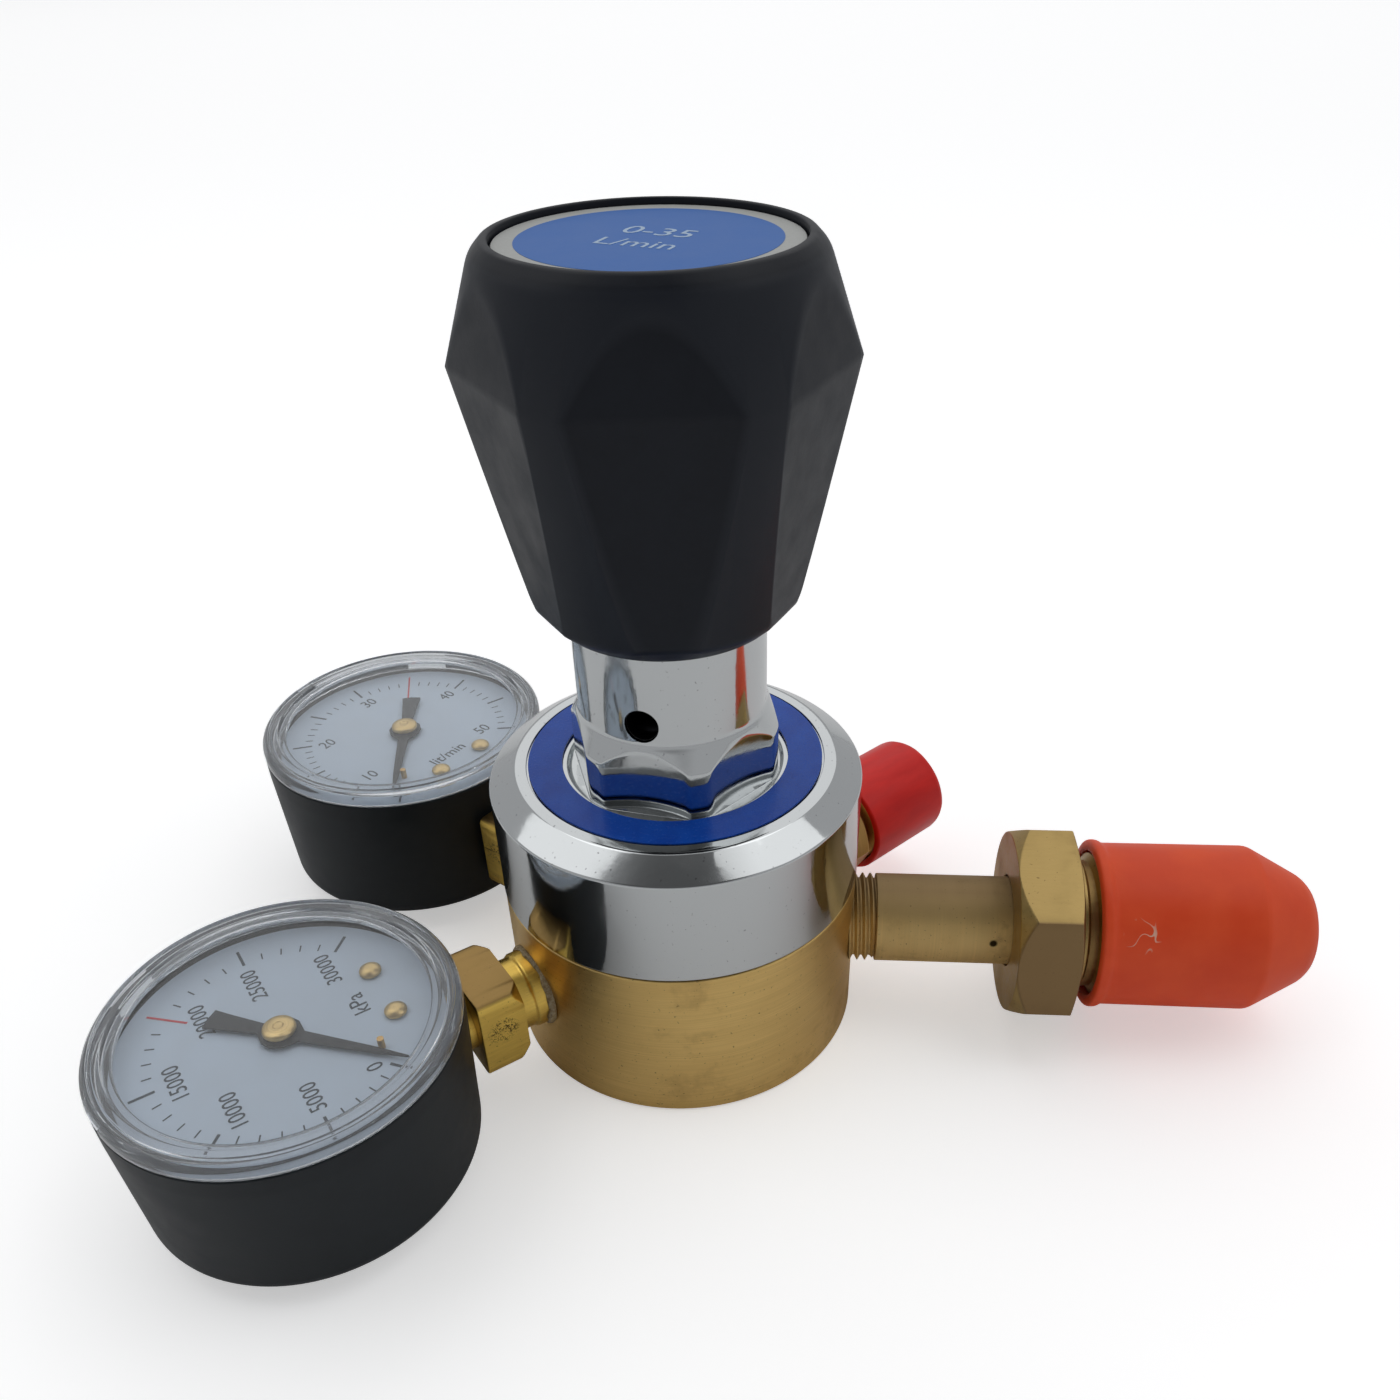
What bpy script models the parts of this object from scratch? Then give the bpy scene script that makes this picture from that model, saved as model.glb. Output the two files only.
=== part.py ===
"""Single-stage gas pressure regulator with two dial gauges.

Metres, +Z up. The origin is on the body's axis at its bottom face, and +X runs
along the inlet stem. Sizes below are in millimetres and are scaled by MM.
"""

import math

import bpy
from mathutils import Matrix, Vector

MM = 0.001

# Number of sides of what is turned
KNOB_SIDES = 48
LARGE_SIDES = 40
GAUGE_SIDES = 36
TURNED_SIDES = 30
MIDDLE_SIDES = 24
SMALL_SIDES = 16
HUB_SIDES = 12
TINY_SIDES = 8

# Clearances between pieces: end to end, and round a shank in its hole
GAP = 0.3
SLIP = 0.25

# Brass body and its ports
BODY_R = 28.0
PORT_Z = 15.7
GAUGE_SHANK_R = 6.1
BODY_H = PORT_Z + GAUGE_SHANK_R + 6.2
SPIGOT_R = BODY_R - 2.6
SPIGOT_TOP = BODY_H + 5.2
CHAMBER_R = SPIGOT_R - 3.0
CHAMBER_FLOOR = BODY_H - 3.5
CHAMBER_BOTTOM = PORT_Z - 9.0
VALVE_BORE_R = 8.1
INLET_Z = PORT_Z + 1.1
INLET_R = 7.15
INLET_SHANK_R = INLET_R - 0.55
INLET_MOUTH = BODY_R - 2.5
GAUGE_SEAT = BODY_R - 11.5
OUTLET_SHANK_R = 6.1
OUTLET_AZ = 45.0
PORT_WALL = 2.45  # between the inlet's and the outlet's ports at their inner ends
PORT_SEAT = (INLET_SHANK_R + SLIP + PORT_WALL / 2) / math.tan(math.radians(OUTLET_AZ / 2))
SUPPLY_AZ = 217.8
FLOW_AZ = 147.0

# Chromed bonnet
SKIRT_TOP = SPIGOT_TOP + 12.5
BONNET_TOP = SKIRT_TOP + 2.7
BONNET_TOP_R = BODY_R - 4.0
BONNET_ROOM_R = BODY_R - 6.4
NECK_R = BODY_R - 14.3
NECK_BORE_R = NECK_R - 2.1
HEX_APOTHEM = NECK_R + 0.5
HEX_CORNER_R = HEX_APOTHEM + 1.4
HEX_AZ = -101.2
HEX_H = 9.4
HEX_TOP = BONNET_TOP + HEX_H
LABEL_IN_R = HEX_CORNER_R + 1.3
LABEL_OUT_R = BONNET_TOP_R - 2.0
BLEED_R = 2.3
BLEED_Z = HEX_TOP + 3.9
BLEED_AZ = -102.0

# Knob, from its lower rim up, and the end of the bonnet's neck inside it
NECK_SHOWN = 13.2
KNOB_HEIGHT = 49.6
KNOB_BOTTOM = HEX_TOP + NECK_SHOWN
KNOB_TOP = KNOB_BOTTOM + KNOB_HEIGHT
KNOB_EQUATOR = KNOB_TOP - 13.9
KNOB_EQUATOR_R = 25.2
KNOB_TOP_R = KNOB_EQUATOR_R - 4.3
KNOB_BORE_R = NECK_R + 0.5
KNOB_BOTTOM_R = KNOB_BORE_R + 3.8
KNOB_FLAT_AZ = -84.2
KNOB_RECESS = 1.3
KNOB_RECESS_R = KNOB_TOP_R - 2.5
KNOB_BORE_TOP = KNOB_TOP - 16.4
KNOB_SCREW_R = 2.5
KNOB_HEAD_R = KNOB_SCREW_R + 2.3
KNOB_HEAD_SEAT = KNOB_TOP - 6.8
SCREW_R = 4.8
SCREW_HOLE = 6.0
NECK_TOP = KNOB_BORE_TOP - 10.0
NECK_WEB = 7.0

# Spring, button and diaphragm
BUTTON_TOP = NECK_TOP - 13.2
BUTTON_FLANGE = 3.6
BUTTON_HUB = 3.4
SPRING_WIRE = 1.3
SPRING_R = NECK_BORE_R - 2.1
SPRING_TURNS = 7
DIAPHRAGM_Z = SPIGOT_TOP + 0.2
DIAPHRAGM_T = 1.1
PLATE_Z = DIAPHRAGM_Z + DIAPHRAGM_T + 0.4
PLATE_T = 2.0
PLATE_STEM_R = 2.9
PIN_R = 0.9
PIN_TOP = CHAMBER_FLOOR + 5.95

# Inlet stem, its nut and the soft cap, measured along the stem
STEM_SHOWN = 21.3
NUT_HEX_L = 13.3
NUT_THREAD_L = 18.4
NUT_LEFT = BODY_R + STEM_SHOWN
NUT_RIGHT = NUT_LEFT + NUT_HEX_L
NUT_END = NUT_RIGHT + NUT_THREAD_L
NUT_SHOULDER = NUT_LEFT + 6.0
NUT_AF = 29.0
NUT_CHAMFER = 2.9
COLLAR_R = INLET_R + 1.75
NUT_BORE_R = COLLAR_R + GAP
NUT_THREAD_R = NUT_BORE_R + 2.25
STEM_BORE_R = 2.2
STEM_END = NUT_END + 9.0
FILTER_R = 3.2
FILTER_ROOM = 6.0
CAP_LEFT = NUT_RIGHT + 2.8
CAP_RIGHT = NUT_END + 19.2
CAP_TAPER = CAP_RIGHT - 10.6
CAP_R = NUT_THREAD_R + 1.7
CAP_NOSE_R = CAP_R - 5.45
CAP_WALL = 1.6

# Outlet fitting and its soft cap, measured along the outlet
OUT_HEX_AF = 16.0
OUT_HEX_START = BODY_R + 0.6
OUT_HEX_END = BODY_R + 8.0
OUT_THREAD_R = OUT_HEX_AF / 2 - 0.4
OUT_BORE_R = 2.0
OUT_END = OUT_HEX_END + 15.0
OUT_CAP_LEFT = OUT_HEX_END + 1.6
OUT_CAP_END = OUT_END + 6.8
OUT_CAP_R = OUT_THREAD_R + 1.6

# Gauge cases and what stands in them, from the ports' height up
CASE_R = 25.0
CASE_WALL = 0.7
CASE_BOTTOM = 3.2
GAUGE_REACH = 12.1
CASE_START = BODY_R + GAUGE_REACH
GAUGE_DISTANCE = CASE_START + CASE_R
SOCKET_SIDE = 2 * GAUGE_SHANK_R + 1.8
SOCKET_START = BODY_R + 4.5
SOCKET_NECK_R = 5.0
BLOCK_TOP = PORT_Z + 4.6
BLOCK_H = 9.1
DIAL_Z = BLOCK_TOP + 5.9
DIAL_T = 0.5
DIAL_R = CASE_R - 2.6
CASE_TOP = DIAL_Z + 2.3
WINDOW_TOP = CASE_TOP + 2.7
POINTER_Z = DIAL_Z + 1.1

# Movement in plan, drawn for a case of 25 mm radius; it grows with the case
GROWTH = CASE_R / 25.0
BLOCK_NEAR, BLOCK_FAR, BLOCK_HALF = 10.6, 21.9, 6.5
DIAL_SCREW_AT = (14.7, 4.8)
DIAL_SCREW_R = 0.8
DIAL_HOLE_R = 1.7
POINTER_TIP = 19.2
POINTER_TAIL = 11.0
POINTER_REST = -48.0
POINTER_HOLE_R = 0.95
STOP_PIN_AT = 14.5
STOP_PIN_R = 0.5
SECTOR_ARM = 9.0
PINION_TEETH = 10
SECTOR_TEETH = 9
GEAR_RATIO = 5.0
SECTOR_REST = 27.0
SECTOR_TAIL = 4.0
ARBOR_R = 0.6
TUBE_R = 17.0
TUBE_END = 244.0
PLATE_GAP = 3.05

for old in list(bpy.data.objects):
    bpy.data.objects.remove(old, do_unlink=True)


def polar(radius, azimuth, z=0.0):
    angle = math.radians(azimuth)
    return Vector((radius * math.cos(angle), radius * math.sin(angle), z))


def shift(x, y, z=0.0):
    return Matrix.Translation((x, y, z))


def spin(azimuth):
    return Matrix.Rotation(math.radians(azimuth), 4, "Z")


def frame_along(azimuth, z):
    """Local +Z runs outwards along the azimuth, from the body's axis at height z; local +X is up."""
    out = polar(1.0, azimuth)
    up = Vector((0, 0, 1))
    side = out.cross(up)
    return shift(0, 0, z) @ Matrix((up, side, out)).transposed().to_4x4()


def frame_gauge(azimuth):
    """Local +X points from the gauge's axis to the body, local +Z is up."""
    return Matrix.Translation(polar(GAUGE_DISTANCE, azimuth)) @ spin(azimuth + 180.0)


MATERIALS = {
    "brass": ((0.62, 0.44, 0.16, 1), 1.0, 0.28),
    "chrome": ((0.80, 0.81, 0.83, 1), 1.0, 0.06),
    "steel": ((0.60, 0.61, 0.62, 1), 1.0, 0.30),
    "alloy": ((0.75, 0.76, 0.77, 1), 1.0, 0.35),
    "black": ((0.012, 0.013, 0.015, 1), 0.0, 0.42),
    "rubber": ((0.02, 0.02, 0.02, 1), 0.0, 0.75),
    "orange": ((0.85, 0.13, 0.03, 1), 0.0, 0.45),
    "red": ((0.62, 0.02, 0.02, 1), 0.0, 0.25),
    "blue": ((0.02, 0.10, 0.42, 1), 0.0, 0.30),
    "white": ((0.80, 0.83, 0.86, 1), 0.0, 0.35),
    "clear": ((0.90, 0.92, 0.94, 1), 0.0, 0.08),
    "bronze": ((0.45, 0.26, 0.12, 1), 1.0, 0.60),
}


def colour(obj, kind):
    base, metallic, rough = MATERIALS[kind]
    material = bpy.data.materials.new(obj.name)
    material.use_nodes = True
    shader = material.node_tree.nodes["Principled BSDF"]
    shader.inputs["Base Color"].default_value = base
    shader.inputs["Metallic"].default_value = metallic
    shader.inputs["Roughness"].default_value = rough
    if kind == "clear":
        shader.inputs["Alpha"].default_value = 0.3
    obj.data.materials.append(material)


def volume(points, faces):
    total = 0.0
    for face in faces:
        a = points[face[0]]
        for b, c in zip(face[1:-1], face[2:]):
            total += a.dot(points[b].cross(points[c]))
    return total


def solid(name, points, faces, kind, place=None, origin=(0, 0, 0)):
    """An object from local points in mm, or a cutter if it has no kind; origin is in mm in world space."""
    if place is not None:
        points = [place @ p for p in points]
    if volume(points, faces) < 0:
        faces = [tuple(reversed(f)) for f in faces]
    start = Vector(origin)
    mesh = bpy.data.meshes.new(name)
    mesh.from_pydata([tuple((p - start) * MM) for p in points], [], faces)
    mesh.validate()
    mesh.shade_smooth()
    mesh.set_sharp_from_angle(angle=math.radians(32))
    obj = bpy.data.objects.new(name, mesh)
    obj.location = start * MM
    bpy.context.scene.collection.objects.link(obj)
    if kind is None:
        obj.hide_render = True
        obj.display_type = "WIRE"
    else:
        colour(obj, kind)
    return obj


def lathe(name, profile, sides, kind, place=None, origin=(0, 0, 0)):
    """A solid turned about local Z from (r, z) points, closed along the axis if both ends are on it."""
    points, rows = [], []
    for r, z in profile:
        if r < 1e-6:
            points.append(Vector((0, 0, z)))
            rows.append([len(points) - 1] * sides)
        else:
            first = len(points)
            points += [polar(r, 360.0 * k / sides, z) for k in range(sides)]
            rows.append(list(range(first, first + sides)))
    pairs = list(zip(rows, rows[1:]))
    if profile[0][0] > 1e-6:
        pairs.append((rows[-1], rows[0]))
    faces = []
    for low, high in pairs:
        for k in range(sides):
            n = (k + 1) % sides
            ring = [low[k], low[n], high[n], high[k]]
            ring = [v for i, v in enumerate(ring) if v != ring[i - 1]]
            if len(ring) > 2:
                faces.append(tuple(ring))
    return solid(name, points, faces, kind, place, origin)


def rod(radius, z0, z1):
    """The profile of a plain round rod, for lathe()."""
    return [(0, z0), (radius, z0), (radius, z1), (0, z1)]


def tube(inner, outer, z0, z1):
    """The profile of a plain ring, for lathe()."""
    return [(inner, z0), (outer, z0), (outer, z1), (inner, z1)]


def prism(name, outline, z0, z1, kind, place=None, origin=(0, 0, 0)):
    """A straight prism over an outline of (x, y) points."""
    n = len(outline)
    points = [Vector((x, y, z0)) for x, y in outline] + [Vector((x, y, z1)) for x, y in outline]
    faces = [tuple(range(n)), tuple(range(2 * n - 1, n - 1, -1))]
    faces += [(i, i + n, (i + 1) % n + n, (i + 1) % n) for i in range(n)]
    return solid(name, points, faces, kind, place, origin)


def hexagon(apothem, azimuth=0.0):
    radius = apothem / math.cos(math.pi / 6)
    return [polar(radius, azimuth + 30.0 + 60.0 * k).to_2d() for k in range(6)]


def rectangle(x0, y0, x1, y1):
    return [(x0, y0), (x1, y0), (x1, y1), (x0, y1)]


def swept(name, path, section, kind, place=None, origin=(0, 0, 0)):
    """A solid swept along a path, with the section as (sideways, up) pairs."""
    points, count = [], len(section)
    for i in range(len(path)):
        ahead = path[min(i + 1, len(path) - 1)] - path[max(i - 1, 0)]
        side = ahead.cross(Vector((0, 0, 1))).normalized()
        top = side.cross(ahead).normalized()
        points += [path[i] + side * a + top * b for a, b in section]
    faces = [tuple(range(count)), tuple(range(len(points) - 1, len(points) - 1 - count, -1))]
    for i in range(len(path) - 1):
        for k in range(count):
            n = (k + 1) % count
            faces.append((i * count + k, (i + 1) * count + k, (i + 1) * count + n, i * count + n))
    return solid(name, points, faces, kind, place, origin)


def boolean(obj, other, how="DIFFERENCE"):
    modifier = obj.modifiers.new(how.title() + "_" + other.name, "BOOLEAN")
    modifier.operation = how
    modifier.solver = "EXACT"
    modifier.object = other


def bore(obj, name, radius, z0, z1, place=None, sides=SMALL_SIDES):
    boolean(obj, lathe("cut_" + name, rod(radius, z0, z1), sides, None, place))


def coil(name, radius, wire, z0, z1, turns, steps, sides, kind):
    total = turns * steps
    rise = (z1 - z0 - 2 * wire) / total
    path = [polar(radius, 360.0 * i / steps, z0 + wire + rise * i) for i in range(total + 1)]
    section = [polar(wire, 360.0 * k / sides).to_2d() for k in range(sides)]
    return swept(name, path, section, kind)


# Brass body: a turned cup with a spigot, the low pressure chamber on top and four ports round it
body = lathe(
    "body",
    [
        (0, 0), (BODY_R - 0.5, 0), (BODY_R, 0.5), (BODY_R, BODY_H), (SPIGOT_R, BODY_H),
        (SPIGOT_R, SPIGOT_TOP),
        (CHAMBER_R, SPIGOT_TOP), (CHAMBER_R, CHAMBER_FLOOR), (VALVE_BORE_R, CHAMBER_FLOOR),
        (VALVE_BORE_R, CHAMBER_BOTTOM), (0, CHAMBER_BOTTOM),
    ],
    LARGE_SIDES, "brass",
)
inlet_frame = frame_along(0.0, INLET_Z)
outlet_frame = frame_along(OUTLET_AZ, PORT_Z)
supply_frame = frame_along(SUPPLY_AZ, PORT_Z)
flow_frame = frame_along(FLOW_AZ, PORT_Z)
OUTSIDE = BODY_R + 3.0
bore(body, "inlet_port", INLET_SHANK_R + SLIP, PORT_SEAT, INLET_MOUTH + 1, inlet_frame)
bore(body, "inlet_mouth", INLET_R + SLIP, INLET_MOUTH, OUTSIDE, inlet_frame)
bore(body, "inlet_drill", 2.5, 3.0, PORT_SEAT + 1, inlet_frame, TINY_SIDES)
bore(body, "supply_port", GAUGE_SHANK_R + SLIP, GAUGE_SEAT, OUTSIDE, supply_frame)
bore(body, "supply_drill", 2.0, 3.0, GAUGE_SEAT + 1, supply_frame, TINY_SIDES)
bore(body, "flow_port", GAUGE_SHANK_R + SLIP, GAUGE_SEAT, OUTSIDE, flow_frame)
bore(
    body, "flow_drill", 1.6, PORT_Z, CHAMBER_FLOOR + 1,
    Matrix.Translation(polar(GAUGE_SEAT + 2.0, FLOW_AZ)), TINY_SIDES,
)
bore(body, "outlet_port", OUTLET_SHANK_R + SLIP, PORT_SEAT, OUTSIDE, outlet_frame)
bore(
    body, "outlet_drill", 1.8, PORT_Z, CHAMBER_FLOOR + 1,
    Matrix.Translation(polar(CHAMBER_R - 2.0, OUTLET_AZ)), TINY_SIDES,
)

# Chromed bonnet: skirt over the spigot, bevel, hex and neck in one piece, with the spring's room inside
LABEL_SEAT = BONNET_TOP - 0.4
CLAMP_TOP = SPIGOT_TOP + 2.7
bonnet = lathe(
    "bonnet",
    [
        (BODY_R + 0.1, BODY_H + SLIP), (BODY_R + 0.1, SKIRT_TOP), (BONNET_TOP_R, BONNET_TOP),
        (LABEL_OUT_R + GAP, BONNET_TOP), (LABEL_OUT_R + GAP, LABEL_SEAT), (HEX_CORNER_R + 0.6, LABEL_SEAT),
        (HEX_CORNER_R, BONNET_TOP - 1.2), (HEX_CORNER_R, HEX_TOP - 2.6), (NECK_R + 0.5, HEX_TOP),
        (NECK_R, HEX_TOP + 0.9), (NECK_R, NECK_TOP - 1.0), (NECK_R - 1.0, NECK_TOP),
        (SCREW_R + SLIP, NECK_TOP),
        (SCREW_R + SLIP, NECK_TOP - NECK_WEB), (NECK_BORE_R, NECK_TOP - NECK_WEB),
        (NECK_BORE_R, BONNET_TOP - 2.2),
        (BONNET_ROOM_R, BONNET_TOP - 7.2), (BONNET_ROOM_R, CLAMP_TOP), (SPIGOT_R + GAP, CLAMP_TOP),
        (SPIGOT_R + GAP, BODY_H + SLIP),
    ],
    LARGE_SIDES, "chrome",
)
hex_low, hex_high = BONNET_TOP - 0.2, HEX_TOP + 0.3
hex_shell = lathe("cut_hex_shell", tube(NECK_R + 0.2, BODY_R + 2.0, hex_low, hex_high), LARGE_SIDES, None)
boolean(hex_shell, prism("cut_hex", hexagon(HEX_APOTHEM, HEX_AZ), hex_low, hex_high + 0.1, None))
boolean(bonnet, hex_shell)
bore(bonnet, "bleed", BLEED_R, NECK_BORE_R - 3, NECK_R + 3, frame_along(BLEED_AZ, BLEED_Z))

# Printed ring that lies in the bonnet's shallow seat
lathe("bonnet_label", tube(LABEL_IN_R, LABEL_OUT_R, LABEL_SEAT + 0.2, BONNET_TOP + 0.1), LARGE_SIDES, "blue")

# Diaphragm with one rolled convolution, clamped at its rim under the slip ring
clamp_r = SPIGOT_R - 0.4
roll_low = [(6.8, 0), (5.8, 1.3), (4.2, 1.9), (2.6, 1.3), (1.6, 0)]
roll_high = [(1.0, 0), (2.0, 1.2), (4.2, 2.0), (6.4, 1.2), (7.4, 0)]
diaphragm_top = DIAPHRAGM_Z + DIAPHRAGM_T
lathe(
    "diaphragm",
    [(PLATE_STEM_R + 0.5, DIAPHRAGM_Z)]
    + [(CHAMBER_R - inwards, DIAPHRAGM_Z + rise) for inwards, rise in roll_low]
    + [(clamp_r, DIAPHRAGM_Z), (clamp_r, diaphragm_top)]
    + [(CHAMBER_R - inwards, diaphragm_top + rise) for inwards, rise in roll_high]
    + [(PLATE_STEM_R + 0.5, diaphragm_top)],
    MIDDLE_SIDES, "rubber",
)
lathe(
    "slip_ring", tube(CHAMBER_R - 0.5, clamp_r, diaphragm_top + 0.2, diaphragm_top + 1.2), MIDDLE_SIDES,
    "steel",
)

# Plate above the diaphragm with its stem, and the washer below it: they push the valve pin
plate_r = CHAMBER_R - 8.8
plate_top = PLATE_Z + PLATE_T
hub_r = SPRING_R - SPRING_WIRE - 0.6
lathe(
    "diaphragm_plate",
    [
        (0, PIN_TOP + SLIP), (PLATE_STEM_R, PIN_TOP + SLIP), (PLATE_STEM_R, PLATE_Z), (plate_r, PLATE_Z),
        (plate_r, plate_top), (hub_r, plate_top), (hub_r, plate_top + 2.6), (0, plate_top + 2.6),
    ],
    MIDDLE_SIDES, "alloy",
)
washer_top = DIAPHRAGM_Z - GAP
lathe(
    "diaphragm_washer", tube(PLATE_STEM_R + GAP, CHAMBER_R - 11.9, washer_top - 1.5, washer_top),
    MIDDLE_SIDES, "brass",
)

# Main spring between the plate and the button, and the button that the screw pushes down
flange_low = BUTTON_TOP - BUTTON_FLANGE
flange_r = NECK_BORE_R - 0.4
button_hub_r = SPRING_R - SPRING_WIRE - 0.8
coil("main_spring", SPRING_R, SPRING_WIRE, plate_top + SLIP, flange_low - 0.2, SPRING_TURNS, 10, 5, "steel")
lathe(
    "spring_button",
    [
        (0, flange_low - BUTTON_HUB), (button_hub_r, flange_low - BUTTON_HUB), (button_hub_r, flange_low),
        (flange_r, flange_low), (flange_r, BUTTON_TOP - 0.4), (flange_r - 0.6, BUTTON_TOP), (0, BUTTON_TOP),
    ],
    MIDDLE_SIDES, "steel",
)

# Adjusting screw: turns with the knob in the neck's thread
SCREW_TOP = KNOB_BORE_TOP + SCREW_HOLE
tapped_r = KNOB_SCREW_R + SLIP
lathe(
    "adjusting_screw",
    [
        (0, BUTTON_TOP + 0.2), (SCREW_R - 1.4, BUTTON_TOP + 0.2), (SCREW_R, BUTTON_TOP + 1.6),
        (SCREW_R, SCREW_TOP),
        (tapped_r, SCREW_TOP), (tapped_r, KNOB_BORE_TOP - 5.0), (0, KNOB_BORE_TOP - 5.0),
    ],
    SMALL_SIDES, "steel",
)

# Knob: a double cone with six pairs of flats, hollow over the neck, with a shallow recess on top
recess_z = KNOB_TOP - KNOB_RECESS
pocket_r = KNOB_HEAD_R + 1.2
hole_r = KNOB_SCREW_R + GAP
knob = lathe(
    "knob",
    [
        (KNOB_BORE_R, KNOB_BOTTOM), (KNOB_BORE_R + 0.8, KNOB_BOTTOM),
        (KNOB_BOTTOM_R - 1.4, KNOB_BOTTOM + 0.9),
        (KNOB_BOTTOM_R, KNOB_BOTTOM + 3.0), (KNOB_EQUATOR_R, KNOB_EQUATOR), (KNOB_TOP_R, KNOB_TOP - 1.8),
        (KNOB_TOP_R - 0.7, KNOB_TOP - 0.5), (KNOB_TOP_R - 1.8, KNOB_TOP), (KNOB_RECESS_R, KNOB_TOP),
        (KNOB_RECESS_R, recess_z), (pocket_r, recess_z), (pocket_r, KNOB_HEAD_SEAT), (hole_r, KNOB_HEAD_SEAT),
        (hole_r, SCREW_TOP + GAP), (SCREW_R + SLIP, SCREW_TOP + GAP), (SCREW_R + SLIP, KNOB_BORE_TOP),
        (KNOB_BORE_R, KNOB_BORE_TOP),
    ],
    KNOB_SIDES, "black",
)
levels = (
    (KNOB_BOTTOM_R - 1.1, KNOB_BOTTOM - 1.0),
    (KNOB_EQUATOR_R - 2.2, KNOB_EQUATOR),
    (KNOB_TOP_R - 0.35, KNOB_TOP - 1.6),
    (KNOB_TOP_R - 0.85, KNOB_TOP + 1.0),
)
flat_points = [p.to_3d() + Vector((0, 0, z)) for apothem, z in levels for p in hexagon(apothem, KNOB_FLAT_AZ)]
flat_faces = [tuple(range(5, -1, -1)), tuple(range(18, 24))]
for first in range(0, 18, 6):
    for k in range(6):
        n = (k + 1) % 6
        flat_faces.append((first + k, first + n, first + 6 + n, first + 6 + k))
boolean(knob, solid("cut_knob_flats", flat_points, flat_faces, None), "INTERSECT")

lathe("knob_label", rod(KNOB_RECESS_R - GAP, recess_z + 0.2, recess_z + 0.5), LARGE_SIDES, "blue")
head_low = KNOB_HEAD_SEAT + SLIP
lathe(
    "knob_screw",
    [
        (0, KNOB_BORE_TOP - 4.0), (KNOB_SCREW_R, KNOB_BORE_TOP - 4.0), (KNOB_SCREW_R, head_low),
        (KNOB_HEAD_R, head_low),
        (KNOB_HEAD_R, head_low + 2.75), (KNOB_HEAD_R - 0.6, head_low + 3.35), (0, head_low + 3.35),
    ],
    TINY_SIDES, "steel",
)

# Valve inside the high pressure chamber: nozzle from above, poppet with its pin, and its return spring
nozzle_r = VALVE_BORE_R - GAP
nozzle_bore_r = PIN_R + 0.4
nozzle_seat = CHAMBER_FLOOR - 4.6
nozzle = lathe(
    "seat_nozzle",
    [
        (nozzle_bore_r, nozzle_seat), (2.2, nozzle_seat), (2.8, nozzle_seat + 0.8),
        (nozzle_r, nozzle_seat + 0.8),
        (nozzle_r, CHAMBER_FLOOR + SLIP), (VALVE_BORE_R + 1.1, CHAMBER_FLOOR + SLIP),
        (VALVE_BORE_R + 1.1, CHAMBER_FLOOR + 3.2), (nozzle_bore_r, CHAMBER_FLOOR + 3.2),
    ],
    SMALL_SIDES, "brass",
)
nozzle_hex = hexagon(VALVE_BORE_R - 0.2)
boolean(nozzle, prism("cut_nozzle_hex", nozzle_hex, nozzle_seat - 1, CHAMBER_FLOOR + 5, None), "INTERSECT")
lathe(
    "valve_poppet",
    [
        (0, CHAMBER_BOTTOM + 1.5), (1.9, CHAMBER_BOTTOM + 1.5), (1.9, CHAMBER_BOTTOM + 5.7),
        (4.6, CHAMBER_BOTTOM + 5.7),
        (4.6, nozzle_seat - 1.2), (3.6, nozzle_seat - GAP), (PIN_R, nozzle_seat - GAP), (PIN_R, PIN_TOP),
        (0, PIN_TOP),
    ],
    SMALL_SIDES, "brass",
)
coil("poppet_spring", 3.0, 0.4, CHAMBER_BOTTOM + 0.2, CHAMBER_BOTTOM + 5.5, 4, 8, 4, "steel")

# Inlet: stem with its shoulder and bull nose, filter, nut with the male thread, and the soft cap on it
collar_left = NUT_SHOULDER + GAP
nose_r = INLET_R - 0.15
filter_room_r = FILTER_R + 0.2
lathe(
    "inlet_stem",
    [
        (STEM_BORE_R, PORT_SEAT + GAP), (INLET_SHANK_R - 0.6, PORT_SEAT + GAP),
        (INLET_SHANK_R, PORT_SEAT + 1.1),
        (INLET_SHANK_R, INLET_MOUTH + GAP), (INLET_R, INLET_MOUTH + GAP), (INLET_R, collar_left),
        (COLLAR_R, collar_left), (COLLAR_R, collar_left + 4.3), (nose_r, collar_left + 5.7),
        (nose_r, STEM_END - 5.0),
        (nose_r - 1.4, STEM_END - 1.2), (nose_r - 2.6, STEM_END), (filter_room_r, STEM_END),
        (filter_room_r, STEM_END - FILTER_ROOM), (STEM_BORE_R, STEM_END - FILTER_ROOM),
    ],
    MIDDLE_SIDES, "brass", inlet_frame,
)
lathe(
    "inlet_filter", rod(FILTER_R, STEM_END - FILTER_ROOM + 0.2, STEM_END - 1.6), SMALL_SIDES, "bronze",
    inlet_frame,
)
nut_corner = NUT_AF / 2 / math.cos(math.pi / 6)
nut = lathe(
    "inlet_nut",
    [
        (INLET_R + GAP, NUT_LEFT), (NUT_AF / 2 - 0.1, NUT_LEFT), (nut_corner, NUT_LEFT + NUT_CHAMFER),
        (nut_corner, NUT_RIGHT - 0.9), (NUT_AF / 2 - 0.4, NUT_RIGHT), (NUT_THREAD_R - 0.85, NUT_RIGHT),
        (NUT_THREAD_R - 0.85, NUT_RIGHT + 1.4), (NUT_THREAD_R, NUT_RIGHT + 2.2),
        (NUT_THREAD_R, NUT_END - 1.2),
        (NUT_THREAD_R - 1.2, NUT_END), (NUT_BORE_R, NUT_END), (NUT_BORE_R, NUT_SHOULDER),
        (INLET_R + GAP, NUT_SHOULDER),
    ],
    TURNED_SIDES, "brass", inlet_frame, origin=(NUT_LEFT, 0, INLET_Z),
)
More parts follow.
